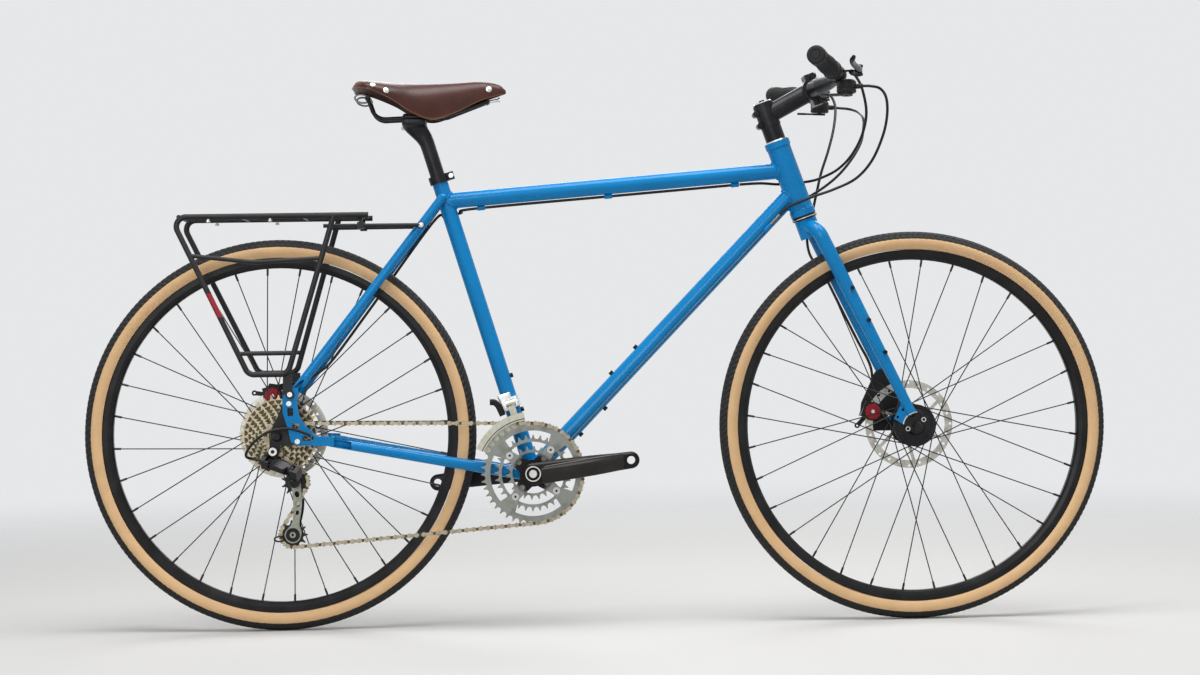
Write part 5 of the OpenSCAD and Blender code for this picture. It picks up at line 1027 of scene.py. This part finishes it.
JAW_X = -322.6
POST_ROWS = [[-235.9, 659.6, 17, 13.3, 13.3, 2], [-260, 738.4, 17, 13.3, 13.3, 2], [-280, 803.8, 17, 13.3, 13.3, 2],
             [-297.2, 860.2, 17, 13.3, 13.3, 2], [-302.6, 874, 16, 14.4, 13.4, 2.1], [-309.5, 884, 12, 17.2, 14, 2.3],
             [-316.2, 892, 6, 20.2, 16, 2.6], [-320.4, 897.5, 2, 21.6, 20, 3.2], [-322, 901, 0, 22, 26, 4.5],
             [JAW_X, 904.5, 0, 22, 29, 6], [JAW_X, 911, 0, 22, 29, 7], [JAW_X, 912.6, 0, 21, 28, 7]]
JAW_ROWS = [[JAW_X, 913.4, 0, 19.5, 28, 6], [JAW_X, 914.4, 0, 21, 29, 7], [JAW_X, 918, 0, 21, 29, 7],
            [JAW_X, 920.4, 0, 18.5, 26, 5]]
POST_BOLT = [[0, 0], [0, 4], [3.2, 4], [3.9, 3.2], [3.9, 2], [2, 2], [2, 0]]
post_bolts = [turned((JAW_X + x, 0, 920), UP, POST_BOLT, 24) for x in (-16, 16)]
post_parts = [loft(POST_ROWS), loft(JAW_ROWS), *post_bolts]
hang("seatpost_forged", post_parts, anodised, "seat", "black_alloy", "seatpost", sharp=35)

# %% [markdown]
# ## Lever brackets
# Each lever hangs in a moulded bracket that clamps the bar, with the shifter's drum under the bar beside it.
# The clamps, drum and cable screws are turned, and the block between clamp and lever is a short squared loft.

# %% Brackets
CLAMP = [[0, 11.2], [0, 14.4], [1, 15.5], [13, 15.5], [14, 14.4], [14, 11.2]]
SLIM_CLAMP = [[h * 12 / 14, r] for h, r in CLAMP]
BRACKET_ROWS = [[-9, 0, 0, 9, 9, 4], [-20, 0, 0, 9, 9, 5], [-30, 0, 0, 9, 8.6, 5], [-37, 0, 0, 9, 8, 5]]
CABLE_SCREW = [[0, 0], [0, 3.4], [3, 3.4], [3, 4.5], [9, 4.5], [9, 3.9], [10, 3.9], [10, 4.5], [14, 4.5], [15, 3.8],
               [15, 0]]
DRUM = [[11, 0], [11, 14.5], [13, 16.6], [15, 17], [25, 17], [25.4, 16.3], [26.6, 16.3], [27, 17], [31, 17],
        [32.4, 16], [33, 14], [33, 4.2], [34, 4.2], [34, 0]]
PIVOT_CAP = [[9, 0], [9, 4], [10.4, 3.4], [10.6, 0]]
CHEEK_R = 7.5


def cheek(low, high):
    """Rounded tab beside the lever's barrel: an outline of a half circle and a straight root, between two heights."""
    _, back, out = LEVER_PIVOT
    a = np.linspace(-np.pi / 2, np.pi / 2, 17)
    tip = np.stack([back - CHEEK_R * np.cos(a), out + CHEEK_R * np.sin(a)], -1)
    outline = np.concatenate([[[-33, out - CHEEK_R]], tip, [[-33, out + CHEEK_R]]])
    centre = outline.mean(0)
    rows = [(low, 0), (low, 0.94), (low + 0.6, 1), (high - 0.6, 1), (high, 0.94), (high, 0)]
    points = [np.insert(centre + (outline - centre) * share, 0, x, axis=1) for x, share in rows]
    return np.array(points), quads(len(rows), len(outline), wrap_cols=True)


def bracket_parts():
    """One bracket in the bar's own axes: x down, y back and z outwards along the grip."""
    block, block_faces = loft(BRACKET_ROWS, 40)
    block = np.stack([block[..., 2], block[..., 0], block[..., 1] + LEVER_PIVOT[2]], -1)
    return [turned((0, 0, 46), UP, CLAMP), turned((0, 0, 18), UP, SLIM_CLAMP), (block, block_faces),
            cheek(5.3, 9), cheek(-9, -5.3), turned((0, -28, 45), DOWN, CABLE_SCREW, 24),
            turned((22, -30, 24), RIGHT, CABLE_SCREW, 24), turned((0, -16, 24), (1, 0, 0), DRUM),
            *(turned(LEVER_PIVOT, (way, 0, 0), PIVOT_CAP, 24) for way in (1, -1))]


brackets = []
for side in SIDES:
    origin, axes = control_axes(side)
    brackets += [(origin + points @ axes, faces) for points, faces in bracket_parts()]
hang("control_brackets_moulded", brackets, plastic, "steering", "black_plastic", "control_brackets")

# %% [markdown]
# ## Small bright parts
# Bolts, nuts and rings are turned on a lathe, so each is a short profile spun about its own axis.
# They sit on the solids that carry them, and those of one kind on one body make one piece.

# %% Bolts and rings
def dome_bolt(at, heading, radius, height):
    """Domed bolt head on a washer, standing on a surface at a point."""
    return turned(at, heading, [[-0.6, 0], [-0.6, radius * 1.25], [0.9, radius * 1.25], [0.9, radius],
                                [height * 0.6, radius * 0.95], [height * 0.9, radius * 0.7], [height, radius * 0.45],
                                [height * 0.6, radius * 0.4], [height * 0.6, 0]], 28)


STRUT_BOLT = (-311.9, 39.3, 722.0)
RACK_NUTS = [(x, side * 62, 735.6) for x in (-686, -577) for side in SIDES]
RACK_NUT = [[0, 0], [0, 2.6], [2.6, 2.6], [2.6, 4.0], [5.2, 4.0], [5.8, 3.2], [5.8, 0]]
HANGER_BOLT = (-576, -88, 324)
JAW_NUT = [[0, 0], [0, 5.2], [4, 5.2], [6, 3.6], [6.6, 0]]
NOSE_BOLT = [[0, 0], [0, 5.6], [4, 5.6], [4, 2.9], [20, 2.9], [20, 4.6], [23, 4.6], [23, 0]]
CRANK_CAP = [[-0.2, 0], [-0.2, 7.6], [3.8, 7.6], [4.6, 6.8], [4.6, 3.2], [2.4, 3.2], [2.4, 0]]
EYELETS = [((x, side * 50.2, z), (0, side, 0)) for x, z in ((581, 361.2), (552.4, 345)) for side in SIDES]
EAR = [[-14, 0], [-14, 2], [-16.4, 2], [-16.4, 3.4], [-13, 3.4], [-13, 5], [-12.4, 5.6], [12.4, 5.6], [13, 5], [13, 0]]
on_frame = [dome_bolt(np.multiply(STRUT_BOLT, (1, side, 1)), (0, side, 0), 3.4, 3.2) for side in SIDES]
on_frame += [turned(at, DOWN, RACK_NUT, 20) for at in RACK_NUTS]
on_frame += [flat_ring(HANGER_BOLT, RIGHT, 3.4, 7.3, -0.3, 0.9)]
ears = [turned((x, 0, z), LEFT, EAR, 28) for x, z in ((292.7, 914.7), (300.1, 893.7))]
on_seat = [turned((JAW_X + x, 0, 900.4), DOWN, JAW_NUT, 24) for x in (-19, 19)]
on_seat += [turned((-191, 0, 943), (0.985, 0, 0.174), NOSE_BOLT, 24)]
on_crank = [flat_ring(BB_AT + [0, -79.5, 0], RIGHT, 11.8, 13.8, -0.3, 1.6),
            turned(BB_AT + [0, -75.2, 0], RIGHT, CRANK_CAP, 40)]
rings = [flat_ring(*eyelet, 2.7, 4.3, 5.0, 5.8) for eyelet in EYELETS]
tabs = [flat_ring(*eyelet, 2.6, 6.3, 0.2, 5.5) for eyelet in EYELETS]
hang("frame_bright_bolts", on_frame, zinc, "frame", "steel")
hang("stem_clamp_ears", ears, anodised, "steering", "black_alloy")
hang("seat_bright_bolts", on_seat, zinc, "seat", "steel")
hang("crank_bright_cap", on_crank, zinc, "crank", "silver_alloy")
hang("fork_eyelet_rings", rings, zinc, "steering", "steel")
hang("fork_eyelet_tabs", tabs, anodised, "steering", "black_alloy")

# %% [markdown]
# ## Crank arm
# The right crank is forged with a crowned face and one wide bevel along its upper edge, which narrows towards the
# pedal and takes the light from above. It is a skin over the arm: corners (across, outward) carried along it.

# %% Forged arm
CRANK_L = 175
ARM_FROM, ARM_TO = 14, 162
CRANK_TURN = math.radians(7.2)
CRANK_AXES = np.array([[math.cos(CRANK_TURN), 0, math.sin(CRANK_TURN)],
                       [-math.sin(CRANK_TURN), 0, math.cos(CRANK_TURN)], [0, -1, 0]])


def crank_skin():
    """Corners for each station u: half height 19.5 - 4.5 u / 175, face 80.1 + 0.039 u out, both sunk at the ends."""
    u = np.linspace(ARM_FROM, ARM_TO, 75)
    rise = 1.6 * np.sin(np.pi / 2 * np.clip(np.minimum((u - ARM_FROM) / 12, (ARM_TO - u) / 60), 0, 1)) - 0.6
    half, face = 19.5 - 4.5 * u / CRANK_L + rise, 80.1 + 0.039 * u + rise
    bevel, edge = 12 - 10.5 * u / CRANK_L, 2.2 + 0 * u
    across = np.stack([-half, -half, edge - half, -half / 3, half / 4, half - bevel, half - bevel + 1, half, half], -1)
    out = np.stack([face - 10, face - edge, face, face + 0.8, face + 0.8, face + 0.3, face - 0.5, face - 0.9 * bevel,
                    face - 13], -1)
    points = np.stack([np.broadcast_to(u[:, None], across.shape), across, out], -1)
    return BB_AT + points @ CRANK_AXES, quads(len(u), across.shape[1])


crank_face = satin("crank_face", (0.009, 0.0075, 0.005), 0.25, metal=0.3, spread=0.05, coat=0.28)
hang("right_crank_forged", [crank_skin()], crank_face, "crank", "black_alloy", sharp=50)

# %% [markdown]
# ## Front derailleur
# A cast block on the band carries the cage, and a small black arm behind it takes the cable.

# %% Block and cable arm
BLOCK_ROWS = [[-160.6, 388, 17, 9, 7.5, 5], [-160.9, 389, 17, 11, 9.5, 6], [-166, 405.7, 17, 11.5, 9.5, 6],
              [-169.5, 417, 17, 11.5, 9.5, 6], [-169.8, 418, 17, 9, 7.5, 5]]
BLOCK_Y = -29.5
ARM_ROUTE = [[-171, -47, 380], [-175, -47, 389], [-179.5, -47, 398], [-186, -47, 403.5], [-194, -47, 404]]
ARM_OVAL = [[5.6, 3]]
block_points, block_faces = loft(BLOCK_ROWS)
block = (block_points + [0, BLOCK_Y, 0], block_faces)
hang("front_derailleur_block", [block], band_silver, "frame", "silver_alloy", sharp=35)
arm_parts = [tube(smooth_route(ARM_ROUTE, 6), ARM_OVAL, 20), dome_bolt((-190, -49.5, 404), RIGHT, 3.4, 2.6)]
hang("front_derailleur_arm", arm_parts, derailleur_black, "front_derailleur_cage", "black_alloy")

# %% [markdown]
# Two small steel loops for a bag hang under the tail of the saddle, from the cantle bar.

# %% Bag loops
bag_loops = [wire_loop((-414, side * 27, 949), 13, 7.5, 1.7, tilt=1.5) for side in SIDES]
hang("saddle_bag_loops", bag_loops, wire_steel, "seat", "steel")

# %% [markdown]
# ## Studio
# A plain pale floor fades into a pale surround, so no horizon line cuts the picture. Large soft lamps above, beside
# the camera and behind draw long highlights along the tubes.

# %% Floor and light
FLOOR_RADII = [0, 1000, 3000, 6000, 12000, 24000]
FLOOR_FADE = (0.7, 4.2)
SEEN_LIGHT, FILL_LIGHT = 0.62, 0.20


def make_floor():
    """A wide disc whose material fades out with the distance from the bicycle."""
    disc = turned((0, 0, 0), UP, [[0, r] for r in FLOOR_RADII], 96)
    material, shader, place = start_finish("pale_floor", base_color=(0.62, 0.615, 0.60, 1), roughness=0.75)
    tree = material.node_tree
    x, y, _ = place.xyz()
    distance = (x * x + y * y).root()
    clear = place.node("BsdfTransparent")
    mixed = clear.node("MixShader", {0: distance.step(*FLOOR_FADE), 1: Wire(tree, shader.outputs[0]), 2: clear})
    tree.links.new(mixed.socket, tree.nodes["Material Output"].inputs["Surface"])
    make_piece("floor", [disc], material)


def soft_lamp(name, at, aim, size, power):
    """A rectangular lamp at a place, turned to face another place."""
    data = bpy.data.lights.new(name, "AREA")
    data.shape, data.size, data.size_y, data.energy = "RECTANGLE", *size, power
    lamp = bpy.data.objects.new(name, data)
    turn = (Vector(aim) - Vector(at)).to_track_quat("-Z", "Y")
    lamp.matrix_world = Matrix.Translation(at) @ turn.to_matrix().to_4x4()
    scene.collection.objects.link(lamp)


make_floor()
soft_lamp("overhead", (0.2, -0.6, 3.2), (0, 0, 0.5), (3.6, 1.6), 118)
soft_lamp("beside_camera", (-1.6, -4.6, 1.9), (0, 0, 0.55), (2.6, 2.0), 62)
soft_lamp("behind", (0.6, 3.2, 2.4), (0, 0, 0.6), (3.0, 1.4), 45)

world = bpy.data.worlds.new("studio")
world.use_nodes = True
scene.world = world
sky = world.node_tree.nodes["Background"]
rays = Wire(world.node_tree).node("LightPath").socket.node.outputs
camera_ray, mirrored, passed = (
    Wire(world.node_tree, rays[name]) for name in ("Is Camera Ray", "Is Glossy Ray", "Is Transmission Ray"))
seen = camera_ray + mirrored + passed
strength = seen.math("MINIMUM", seen, 1.0) * SEEN_LIGHT + FILL_LIGHT
world.node_tree.links.new(strength.socket, sky.inputs["Strength"])
sky.inputs["Color"].default_value = (0.97, 0.98, 1.0, 1)
